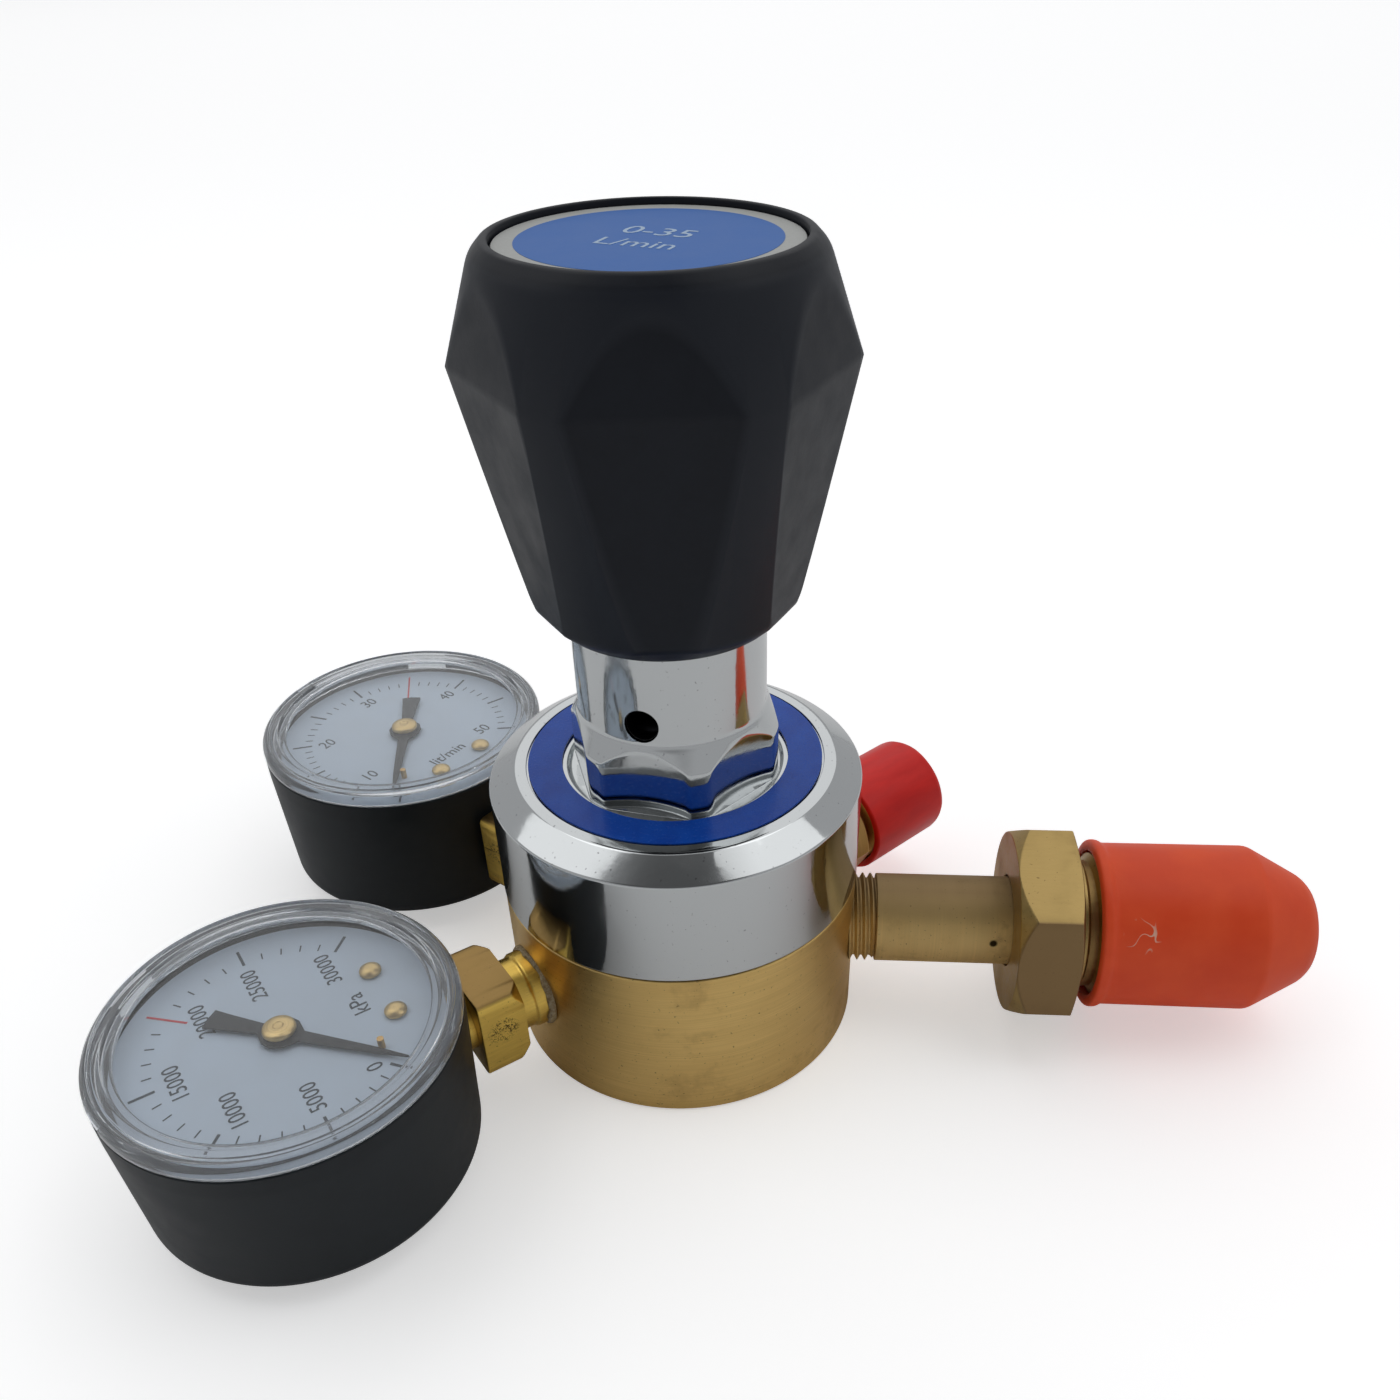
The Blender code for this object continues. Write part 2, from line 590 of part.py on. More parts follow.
# One corner of the hex faces -Y, 42 degrees above the level of the stem
NUT_CORNER_RISE = 42.0
nut_hex = hexagon(NUT_AF / 2, NUT_CORNER_RISE - 60.0)
boolean(nut, prism("cut_nut_hex", nut_hex, NUT_LEFT - 2, NUT_END + 2, None, inlet_frame), "INTERSECT")
cap_inner_r = NUT_THREAD_R + GAP
lathe(
    "inlet_cap",
    [
        (cap_inner_r, CAP_LEFT), (CAP_R - 0.2, CAP_LEFT), (CAP_R + 0.4, CAP_LEFT + 0.5),
        (CAP_R + 0.4, CAP_LEFT + 1.4),
        (CAP_R, CAP_LEFT + 2.0), (CAP_R, CAP_TAPER), (CAP_NOSE_R + 0.8, CAP_RIGHT - 1.3),
        (CAP_NOSE_R - 0.6, CAP_RIGHT),
        (0, CAP_RIGHT), (0, CAP_RIGHT - CAP_WALL), (CAP_NOSE_R - CAP_WALL, CAP_RIGHT - CAP_WALL),
        (cap_inner_r, CAP_TAPER - 0.6),
    ],
    TURNED_SIDES, "orange", inlet_frame, origin=(CAP_LEFT, 0, INLET_Z),
)

# Outlet: hex fitting with its hose thread, and the soft cap on it
out_corner = OUT_HEX_AF / 2 / math.cos(math.pi / 6)
outlet = lathe(
    "outlet_fitting",
    [
        (OUT_BORE_R, PORT_SEAT + GAP), (OUTLET_SHANK_R, PORT_SEAT + GAP), (OUTLET_SHANK_R, OUT_HEX_START),
        (out_corner, OUT_HEX_START), (out_corner, OUT_HEX_END), (OUT_THREAD_R - 0.8, OUT_HEX_END),
        (OUT_THREAD_R - 0.8, OUT_HEX_END + 1.2), (OUT_THREAD_R, OUT_HEX_END + 1.8),
        (OUT_THREAD_R, OUT_END - 1.0),
        (OUT_THREAD_R - 1.0, OUT_END), (OUT_BORE_R + 2.6, OUT_END), (OUT_BORE_R, OUT_END - 4.5),
    ],
    MIDDLE_SIDES, "brass", outlet_frame,
)
outlet_hex = hexagon(OUT_HEX_AF / 2)
boolean(
    outlet, prism("cut_outlet_hex", outlet_hex, PORT_SEAT - 2, OUT_END + 2, None, outlet_frame),
    "INTERSECT",
)
out_cap_inner_r = OUT_THREAD_R + GAP
lathe(
    "outlet_cap",
    [
        (out_cap_inner_r, OUT_CAP_LEFT), (OUT_CAP_R, OUT_CAP_LEFT), (OUT_CAP_R, OUT_CAP_END - 4.4),
        (OUT_CAP_R - 1.0, OUT_CAP_END - 1.8), (OUT_CAP_R - 3.4, OUT_CAP_END - 0.3),
        (OUT_CAP_R - 5.2, OUT_CAP_END),
        (0, OUT_CAP_END), (0, OUT_CAP_END - 1.5), (OUT_CAP_R - 4.0, OUT_CAP_END - 1.7),
        (OUT_CAP_R - 2.0, OUT_CAP_END - 3.2), (out_cap_inner_r, OUT_CAP_END - 5.0),
    ],
    MIDDLE_SIDES, "red", outlet_frame, origin=tuple(polar(OUT_CAP_LEFT, OUTLET_AZ, PORT_Z)),
)


def gear_outline(teeth, root, tip, width, first, step):
    """Trapezoid teeth from the first angle on, all in radians; width is a tooth's angle at its root."""
    outline = []
    tip_width = 0.54 * width * root / tip
    for k in range(teeth):
        middle = first + step * k
        for r, turn in ((root, -width / 2), (tip, -tip_width / 2), (tip, tip_width / 2), (root, width / 2)):
            outline.append((r * math.cos(middle + turn), r * math.sin(middle + turn)))
    return outline


def case_and_window(prefix, place, along):
    case_r = CASE_R - CASE_WALL
    case = lathe(
        prefix + "case",
        [
            (0, CASE_BOTTOM), (CASE_R - 2.6, CASE_BOTTOM), (CASE_R - 1.2, CASE_BOTTOM + 0.5),
            (case_r, CASE_BOTTOM + 1.8),
            (CASE_R, CASE_TOP - 3.0), (CASE_R, CASE_TOP), (case_r, CASE_TOP), (case_r, CASE_TOP - 3.6),
            (CASE_R - 1.7, CASE_TOP - 3.6), (CASE_R - 1.9, CASE_BOTTOM + 1.4), (0, CASE_BOTTOM + 1.4),
        ],
        GAUGE_SIDES, "black", place,
    )
    bore(case, prefix + "case_hole", SOCKET_NECK_R + GAP, CASE_START - 3, CASE_START + 4, along)
    lathe(
        prefix + "window",
        [
            (0, WINDOW_TOP), (CASE_R - 0.8, WINDOW_TOP), (CASE_R, WINDOW_TOP - 0.7),
            (CASE_R, CASE_TOP + SLIP),
            (CASE_R - 1.0, CASE_TOP + SLIP), (CASE_R - 1.0, CASE_TOP - 1.6), (CASE_R - 2.0, CASE_TOP - 1.6),
            (CASE_R - 2.0, WINDOW_TOP - 1.5), (0, WINDOW_TOP - 1.5),
        ],
        GAUGE_SIDES, "clear", place,
    )


def gauge_socket(prefix, place, inside, along):
    """Threaded shank, square wrench block, neck through the case wall and the block inside it."""
    half = SOCKET_SIDE / 2
    square_end = CASE_START + 1.9
    neck_end = GAUGE_DISTANCE - BLOCK_FAR * GROWTH + 2.8
    socket = lathe(
        prefix + "socket",
        [
            (0, GAUGE_SEAT + GAP), (GAUGE_SHANK_R, GAUGE_SEAT + GAP), (GAUGE_SHANK_R, SOCKET_START),
            (half + 1.6, SOCKET_START), (half + 2.5, SOCKET_START + 1.4), (half + 2.5, square_end),
            (SOCKET_NECK_R, square_end), (SOCKET_NECK_R, neck_end), (0, neck_end),
        ],
        SMALL_SIDES, "brass", along,
    )
    square = prism(f"cut_{prefix}square", rectangle(-half, -half, half, half), 0, neck_end + 10, None, along)
    boolean(socket, square, "INTERSECT")
    shell = lathe(
        f"cut_{prefix}shell", tube(CASE_R - 3.0, CASE_R + SLIP, -1, CASE_TOP + 3), GAUGE_SIDES, None, place
    )
    boolean(
        shell,
        lathe(
            f"cut_{prefix}neck", rod(SOCKET_NECK_R, CASE_START - 4, neck_end + 4), SMALL_SIDES, None, along
        ),
    )
    boolean(socket, shell)
    block = rectangle(BLOCK_NEAR, -BLOCK_HALF, BLOCK_FAR, BLOCK_HALF)
    boolean(socket, prism(f"cut_{prefix}inner", block, BLOCK_TOP - BLOCK_H, BLOCK_TOP, None, inside), "UNION")
    bore(socket, prefix + "way", 1.4, 0, neck_end + 4, along, TINY_SIDES)
    return socket


def dial_and_screws(prefix, socket, place, inside):
    dial_top = DIAL_Z + DIAL_T
    dial = lathe(prefix + "dial", tube(DIAL_HOLE_R, DIAL_R, DIAL_Z, dial_top), TURNED_SIDES, "white", place)
    screw = [
        (0, BLOCK_TOP - 4.6), (DIAL_SCREW_R, BLOCK_TOP - 4.6), (DIAL_SCREW_R, dial_top + SLIP),
        (1.55, dial_top + SLIP),
        (1.55, dial_top + 0.85), (1.1, dial_top + 1.2), (0, dial_top + 1.2),
    ]
    for side, name in ((1, "right"), (-1, "left")):
        spot = inside @ shift(DIAL_SCREW_AT[0], DIAL_SCREW_AT[1] * side)
        bore(
            socket, prefix + "tapped_" + name, DIAL_SCREW_R + SLIP, BLOCK_TOP - 5, BLOCK_TOP + 2, spot,
            TINY_SIDES,
        )
        bore(dial, prefix + "dial_hole_" + name, DIAL_SCREW_R + GAP, DIAL_Z - 3, DIAL_Z + 3, spot, TINY_SIDES)
        lathe(prefix + "dial_screw_" + name, screw, TINY_SIDES, "brass", spot)
    behind_pointer = math.degrees(math.asin((STOP_PIN_R + 0.81) / STOP_PIN_AT))
    pin = inside @ Matrix.Translation(polar(STOP_PIN_AT, POINTER_REST + behind_pointer))
    bore(dial, prefix + "pin_hole", STOP_PIN_R + SLIP, DIAL_Z - 3, DIAL_Z + 3, pin, TINY_SIDES)
    lathe(prefix + "stop_pin", rod(STOP_PIN_R, DIAL_Z - 0.5, DIAL_Z + 2.2), TINY_SIDES, "brass", pin)


def pointer_and_pinion(prefix, inside, centre):
    """Pointer, its hub and the pinion, which turn together about the gauge's axis."""
    upper = [
        (POINTER_TIP - 3.0, 0.45), (2.0, 0.8), (1.6, 1.5), (0, 2.0), (-1.6, 1.5), (-2.0, 0.85),
        (2.6 - POINTER_TAIL, 1.25), (-POINTER_TAIL, 1.7),
    ]
    blade = [(x, -y) for x, y in reversed(upper)] + [(POINTER_TIP, 0.0)] + upper
    turned = inside @ spin(POINTER_REST)
    pointer = prism(prefix + "pointer", blade, POINTER_Z, POINTER_Z + 0.45, "black", turned, centre)
    bore(pointer, prefix + "pointer_hole", POINTER_HOLE_R, POINTER_Z - 3, POINTER_Z + 3, inside, TINY_SIDES)
    hub_low = POINTER_Z + 0.7
    hub = [(0, hub_low), (2.3, hub_low), (2.3, hub_low + 0.6), (1.7, hub_low + 1.0), (0, hub_low + 1.0)]
    lathe(prefix + "pointer_hub", hub, HUB_SIDES, "brass", inside, centre)
    pinion = lathe(
        prefix + "pinion", rod(ARBOR_R, BLOCK_TOP - 0.1, POINTER_Z + 0.5), TINY_SIDES, "brass", inside,
        centre,
    )
    pitch_r = SECTOR_ARM / (1 + GEAR_RATIO)
    step = 2 * math.pi / PINION_TEETH
    outline = gear_outline(PINION_TEETH, pitch_r - 0.45, pitch_r + 0.25, 0.34, math.radians(-81), step)
    boolean(
        pinion, prism(f"cut_{prefix}teeth", outline, BLOCK_TOP + 1.6, BLOCK_TOP + 2.9, None, inside),
        "UNION",
    )


def sector_and_link(prefix, inside):
    """Sector gear on its arbor, and the link from its tail towards the tube's tip."""
    pitch_r = SECTOR_ARM * GEAR_RATIO / (1 + GEAR_RATIO)
    step = 2 * math.pi / PINION_TEETH / GEAR_RATIO
    pivot = inside @ shift(0, -SECTOR_ARM)
    swing = pivot @ spin(90 - SECTOR_REST)
    outline = gear_outline(
        SECTOR_TEETH, pitch_r - 0.5, pitch_r + 0.2, 0.055, -(SECTOR_TEETH // 2) * step, step
    )
    outline.append(tuple(polar(1.6, 55.6).to_2d()))
    outline += [(0.9, SECTOR_TAIL + 0.6), (-0.9, SECTOR_TAIL + 0.6)]
    outline += [tuple(polar(1.6, azimuth).to_2d()) for azimuth in (162, 216, 270)]
    origin = tuple(pivot.translation)
    sector = prism(
        prefix + "sector_gear", outline, BLOCK_TOP + 1.85, BLOCK_TOP + 2.65, "brass", swing, origin
    )
    arbor = rod(ARBOR_R, BLOCK_TOP - 0.1, BLOCK_TOP + 5.3)
    boolean(sector, lathe(f"cut_{prefix}arbor", arbor, TINY_SIDES, None, pivot), "UNION")
    tail = swing @ shift(0, SECTOR_TAIL)
    bore(sector, prefix + "tail_hole", 0.55, BLOCK_TOP + 1, BLOCK_TOP + 4, tail, TINY_SIDES)

    joint = inside.inverted() @ tail.translation
    reach = polar(TUBE_R, TUBE_END - 1.0) - Vector((joint.x, joint.y, 0))
    towards_tip = inside @ shift(joint.x, joint.y) @ Matrix.Rotation(math.atan2(reach.y, reach.x), 4, "Z")
    bar = rectangle(-0.9, -0.75, reach.length + 0.7, 0.75)
    link = prism(
        prefix + "link", bar, BLOCK_TOP + 3.05, BLOCK_TOP + 3.55, "brass", towards_tip,
        tuple(tail.translation),
    )
    stud = lathe(f"cut_{prefix}stud", rod(0.35, BLOCK_TOP + 1.5, BLOCK_TOP + 3.3), TINY_SIDES, None, tail)
    boolean(link, stud, "UNION")


def movement_plates(prefix, inside):
    """Two plates with posts between them, which carry both arbors on the socket's block."""
    low, high = BLOCK_TOP + 0.3, BLOCK_TOP + 1.1
    front_low = high + PLATE_GAP
    edge = BLOCK_NEAR + 2.0
    back = prism(
        prefix + "movement_back", rectangle(-5, -SECTOR_ARM - 3.5, edge, 5), low, high, "brass", inside
    )
    outline = rectangle(-5, -SECTOR_ARM - 2.5, edge - 1.2, 5)
    front = prism(prefix + "movement_front", outline, front_low, front_low + 0.8, "brass", inside)
    for name, x, y in (("left", -3.7, 3.6), ("right", edge - 2.6, -SECTOR_ARM - 0.6)):
        post = lathe(
            f"cut_{prefix}post_{name}", rod(1.1, low + 0.4, front_low - SLIP), TINY_SIDES, None,
            inside @ shift(x, y),
        )
        boolean(back, post, "UNION")
    for plate in (back, front):
        bore(plate, plate.name + "_arbor", ARBOR_R + SLIP, low - 3, front_low + 3, inside, TINY_SIDES)
        bore(
            plate, plate.name + "_pivot", ARBOR_R + SLIP, low - 3, front_low + 3,
            inside @ shift(0, -SECTOR_ARM), TINY_SIDES,
        )


def tube_and_hairspring(prefix, inside, centre):
    """Bourdon tube from the socket's block round to its tip, and the hairspring round the pinion's arbor."""
    start = math.degrees(math.asin((BLOCK_HALF + 0.75) / TUBE_R))
    steps = 14
    path = [polar(TUBE_R, start + (TUBE_END - start) * k / steps, PORT_Z + 1.6) for k in range(steps + 1)]
    oval = [(-1.1, -2.0), (0, -3.0), (1.1, -2.0), (1.1, 2.0), (0, 3.0), (-1.1, 2.0)]
    bourdon = swept(prefix + "bourdon_tube", path, oval, "bronze", inside)
    tip = inside @ Matrix.Translation(polar(TUBE_R, TUBE_END - 1.0))
    tab = lathe(f"cut_{prefix}tab", rod(0.9, BLOCK_TOP - 1.1, BLOCK_TOP + 2.8), TINY_SIDES, None, tip)
    boolean(bourdon, tab, "UNION")
    spiral = [polar(1.15 + 2.3 * k / 20, 90 + 45.0 * k, BLOCK_TOP + 3.45) for k in range(21)]
    swept(prefix + "hairspring", spiral, rectangle(-0.12, -0.2, 0.12, 0.2), "bronze", inside, centre)


def gauge(prefix, azimuth):
    """A 50 mm Bourdon gauge whose connection is at its side, towards the body."""
    place = frame_gauge(azimuth)
    inside = place @ Matrix.Diagonal((GROWTH, GROWTH, 1, 1))
    centre = tuple(place.translation)
    along = frame_along(azimuth, PORT_Z)
    case_and_window(prefix, place, along)
    socket = gauge_socket(prefix, place, inside, along)
    dial_and_screws(prefix, socket, place, inside)
    pointer_and_pinion(prefix, inside, centre)
    sector_and_link(prefix, inside)
    movement_plates(prefix, inside)
    tube_and_hairspring(prefix, inside, centre)


gauge("supply_", SUPPLY_AZ)
gauge("flow_", FLOW_AZ)
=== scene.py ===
import math

import bmesh
import bpy
from mathutils import Matrix, Vector


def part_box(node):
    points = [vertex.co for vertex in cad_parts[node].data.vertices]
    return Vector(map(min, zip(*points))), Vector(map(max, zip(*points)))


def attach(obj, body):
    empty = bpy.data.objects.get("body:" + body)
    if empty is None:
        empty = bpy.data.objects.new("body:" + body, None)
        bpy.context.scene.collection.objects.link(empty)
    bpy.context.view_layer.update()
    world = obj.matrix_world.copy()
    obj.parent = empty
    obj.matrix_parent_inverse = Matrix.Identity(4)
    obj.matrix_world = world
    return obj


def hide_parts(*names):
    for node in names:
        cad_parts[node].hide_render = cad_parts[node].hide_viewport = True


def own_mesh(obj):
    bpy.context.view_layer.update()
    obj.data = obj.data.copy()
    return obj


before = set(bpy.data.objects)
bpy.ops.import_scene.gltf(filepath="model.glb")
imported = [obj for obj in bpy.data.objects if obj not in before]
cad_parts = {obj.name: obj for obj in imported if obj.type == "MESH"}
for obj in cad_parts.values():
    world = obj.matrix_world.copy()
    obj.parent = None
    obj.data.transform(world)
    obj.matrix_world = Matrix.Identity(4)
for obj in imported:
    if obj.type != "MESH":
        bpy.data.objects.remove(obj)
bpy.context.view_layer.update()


# Bench: a wide pale sheet that the regulator stands on.
# It is only a stage, lit by a wide softbox overhead and a small lamp on each side.
BENCH_HALF = 5.0
PAPER_GLOW, WALL_GLOW = 0.45, 0.98

bench_mesh = bpy.data.meshes.new("bench")
bench_corners = [(x * BENCH_HALF, y * BENCH_HALF, 0.0) for x, y in ((-1, -1), (1, -1), (1, 1), (-1, 1))]
bench_mesh.from_pydata(bench_corners, [], [(0, 1, 2, 3)])
bench = bpy.data.objects.new("bench", bench_mesh)
bench_paper = bpy.data.materials.new("bench_paper")
bench_paper.use_nodes = True
paper = bench_paper.node_tree.nodes["Principled BSDF"]
paper.inputs["Base Color"].default_value = (0.93, 0.93, 0.93, 1)
paper.inputs["Roughness"].default_value = 0.85
paper.inputs["Specular IOR Level"].default_value = 0.1
paper.inputs["Emission Color"].default_value = (1, 1, 1, 1)
# Paper burnt out to white where it is seen directly, as in a product photograph, without flooding the metal
paper_seen = bench_paper.node_tree.nodes.new("ShaderNodeLightPath")
paper_glow = bench_paper.node_tree.nodes.new("ShaderNodeMath")
paper_glow.operation = "MULTIPLY"
paper_glow.inputs[1].default_value = PAPER_GLOW
bench_paper.node_tree.links.new(paper_seen.outputs["Is Camera Ray"], paper_glow.inputs[0])
bench_paper.node_tree.links.new(paper_glow.outputs[0], paper.inputs["Emission Strength"])
bench_mesh.materials.append(bench_paper)
bpy.context.scene.collection.objects.link(bench)

# Room light: even pale walls, dimmer above the front where the person with the camera leans over.
# Walls that the camera sees directly are white.
room = bpy.data.worlds.new("room")
room.use_nodes = True
bpy.context.scene.world = room
room_nodes, room_links = room.node_tree.nodes, room.node_tree.links
room_sky = room_nodes["Background"]
room_way = room_nodes.new("ShaderNodeTexCoord")
room_facing = room_nodes.new("ShaderNodeVectorMath")
room_facing.operation = "DOT_PRODUCT"
room_facing.inputs[1].default_value = (0.03, -0.62, 0.78)
room_fall = room_nodes.new("ShaderNodeMapRange")
room_fall.interpolation_type = "SMOOTHSTEP"
for socket, value in zip(room_fall.inputs[1:5], (0.74, 0.93, 0.46, 0.10)):
    socket.default_value = value
room_links.new(room_way.outputs["Generated"], room_facing.inputs[0])
room_links.new(room_facing.outputs["Value"], room_fall.inputs[0])
room_seen = room_nodes.new("ShaderNodeLightPath")
room_white = room_nodes.new("ShaderNodeMapRange")
room_white.inputs["To Max"].default_value = WALL_GLOW
room_links.new(room_seen.outputs["Is Camera Ray"], room_white.inputs["Value"])
room_links.new(room_fall.outputs[0], room_white.inputs["To Min"])
room_links.new(room_white.outputs[0], room_sky.inputs["Strength"])
room_sky.inputs["Color"].default_value = (0.97, 0.98, 1.0, 1)

for name, spot, aim, size, watts in (
    ("softbox_overhead", (0.0, 1.6, 2.6), (0.0, 0.2, 0.0), (4.0, 4.0), 24.0),
    ("lamp_left", (-0.46, 0.02, 0.66), (0.0, 0.0, 0.05), (0.42, 0.56), 0.52),
    ("lamp_right", (0.44, 0.0, 0.67), (0.0, 0.0, 0.05), (0.42, 0.56), 0.52),
):
    lamp_data = bpy.data.lights.new(name, "AREA")
    lamp_data.shape = "RECTANGLE"
    lamp_data.size, lamp_data.size_y = size
    lamp_data.energy = watts
    lamp = bpy.data.objects.new(name, lamp_data)
    lamp.location = spot
    lamp.rotation_euler = (Vector(aim) - Vector(spot)).to_track_quat("-Z", "Y").to_euler()
    bpy.context.scene.collection.objects.link(lamp)

bpy.context.scene.view_settings.view_transform = "Standard"

# Camera: held above the front of the regulator, looking down at it.
CAMERA_AT = Vector((0.01873, -0.15162, 0.15207))
CAMERA_YAW, CAMERA_DOWN, CAMERA_ROLL = (math.radians(v) for v in (4.1, 37.6, -1.1))
CAMERA_FOCAL_PIXELS, PICTURE_SIDE = 1226.0, 1400.0
LENS_CENTRE = (729.0, 825.0)
SENSOR = 36.0

ahead = Vector((
    -math.sin(CAMERA_YAW) * math.cos(CAMERA_DOWN), math.cos(CAMERA_YAW) * math.cos(CAMERA_DOWN),
    -math.sin(CAMERA_DOWN),
))
level_right = Vector((math.cos(CAMERA_YAW), math.sin(CAMERA_YAW), 0))
level_up = level_right.cross(ahead)
camera_right = level_right * math.cos(CAMERA_ROLL) + level_up * math.sin(CAMERA_ROLL)
camera_up = level_up * math.cos(CAMERA_ROLL) - level_right * math.sin(CAMERA_ROLL)
camera_data = bpy.data.cameras.new("camera")
camera_data.sensor_width = SENSOR
camera_data.lens = SENSOR * CAMERA_FOCAL_PIXELS / PICTURE_SIDE
camera_data.shift_x = (PICTURE_SIDE / 2 - LENS_CENTRE[0]) / PICTURE_SIDE
camera_data.shift_y = (LENS_CENTRE[1] - PICTURE_SIDE / 2) / PICTURE_SIDE
camera_data.clip_start = 0.005
camera = bpy.data.objects.new("camera", camera_data)
camera_axes = Matrix((camera_right, camera_up, -ahead)).transposed().to_4x4()
camera.matrix_world = Matrix.Translation(CAMERA_AT) @ camera_axes
bpy.context.scene.collection.objects.link(camera)
bpy.context.scene.camera = camera


# Brass body: a cup turned from bar, satin outside, with four ports drilled round its wall.
# The bonnet screws on its spigot; the valve chamber and the low pressure chamber are inside.
MM = 0.001
BODY_R, BODY_TOP = 28.0, 28.0
SPIGOT_R, SPIGOT_TOP = 25.4, 33.2
CHAMBER_R, CHAMBER_FLOOR = 22.4, 24.5
VALVE_BORE_R, VALVE_BORE_BOTTOM = 8.1, 6.7
INLET_PORT_R, SIDE_PORT_R = 7.4, 6.35
OUTLET_SEAT, GAUGE_SEAT = 19.5, 16.5
INLET_Z, PORT_Z = 16.8, 15.7
OUTLET_AZ, SUPPLY_AZ, FLOW_AZ = 45.0, 217.8, 147.0


def softened(section, edge, cuts, closed):
    """The section with each corner rounded; a third number in a corner is its own rounding."""
    soft = []
    for i, corner in enumerate(section):
        here = Vector(corner[:2])
        if not closed and i in (0, len(section) - 1):
            soft.append(here)
            continue
        back = Vector(section[i - 1][:2]) - here
        on = Vector(section[(i + 1) % len(section)][:2]) - here
        cut = min(corner[2] if len(corner) > 2 else edge, back.length * 0.45, on.length * 0.45)
        first, last = here + back.normalized() * cut, here + on.normalized() * cut
        for step in range(cuts + 1):
            t = step / cuts
            soft.append(first * (1 - t) ** 2 + here * 2 * t * (1 - t) + last * t * t)
    return soft


def turned(section, sides=96, edge=0.15, cuts=3, closed=None):
    """A shape turned about local Z from (radius, height) corners, or from a function of the angle."""
    points, faces = [], []
    for k in range(sides):
        angle = 2 * math.pi * k / sides
        outline = section(angle) if callable(section) else section
        if closed is None:
            closed = outline[0][0] > 1e-6
        for r, z in softened(outline, edge, cuts, closed):
            points.append((r * math.cos(angle), r * math.sin(angle), z))
    rows = len(points) // sides
    for k in range(sides):
        here, beside = k * rows, (k + 1) % sides * rows
        for j in range(rows if closed else rows - 1):
            n = (j + 1) % rows
            faces.append((here + j, beside + j, beside + n, here + n))
    return points, faces


def rod_section(radius, low, high):
    return [(0, low), (radius, low), (radius, high), (0, high)]


def meshed(name, shapes, crease=38):
    """One mesh from shapes in millimetres, welded where they meet."""
    mesh = bpy.data.meshes.new(name)
    work = bmesh.new()
    for points, faces in shapes:
        corners = [work.verts.new(Vector(p) * MM) for p in points]
        for face in faces:
            work.faces.new([corners[i] for i in face])
    bmesh.ops.remove_doubles(work, verts=work.verts[:], dist=2e-7)
    bmesh.ops.recalc_face_normals(work, faces=work.faces[:])
    work.to_mesh(mesh)
    work.free()
    mesh.shade_smooth()
    mesh.set_sharp_from_angle(angle=math.radians(crease))
    return mesh


def made(name, shapes, finish, body, stands_for=(), at=None, crease=38, holes=()):
    """A piece of the regulator: its mesh in place, its holes cut, its finish on, joined to its body."""
    at = at or Matrix()
    mesh = meshed(name, shapes, crease)
    mesh.transform(at)
    piece = bpy.data.objects.new(name, mesh)
    bpy.context.scene.collection.objects.link(piece)
    cutters = []
    for shape, place in holes:
        cutter_mesh = meshed(name + "_cutter", [shape])
        cutter_mesh.transform(place)
        cutter = bpy.data.objects.new(name + "_cutter", cutter_mesh)
        bpy.context.scene.collection.objects.link(cutter)
        cut = piece.modifiers.new("cut", "BOOLEAN")
        cut.solver, cut.object = "EXACT", cutter
        cutters.append(cutter)
    if cutters:
        graph = bpy.context.evaluated_depsgraph_get()
        drilled = bpy.data.meshes.new_from_object(piece.evaluated_get(graph))
        piece.modifiers.clear()
        piece.data = drilled
        drilled.shade_smooth()
        drilled.set_sharp_from_angle(angle=math.radians(crease))
        for cutter in cutters:
            bpy.data.objects.remove(cutter)
    # Patterns lie along the piece's own axes, so each point keeps its place on them, in millimetres
    back = at.inverted()
    own = piece.data.attributes.new("own_place", "FLOAT_VECTOR", "POINT")
    own.data.foreach_set("vector", [n / MM for v in piece.data.vertices for n in back @ v.co])
    piece.data.materials.clear()
    piece.data.materials.append(finish)
    even = piece.modifiers.new("even_faces", "WEIGHTED_NORMAL")
    even.keep_sharp = True
    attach(piece, body)
    if stands_for:
        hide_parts(*stands_for)
    return piece


def outward(azimuth, height):
    """A place on the body's axis whose local Z runs out along the azimuth, with local X up."""
    angle = math.radians(azimuth)
    out = Vector((math.cos(angle), math.sin(angle), 0))
    up = Vector((0, 0, 1))
    return Matrix.Translation((0, 0, height * MM)) @ Matrix((up, out.cross(up), out)).transposed().to_4x4()


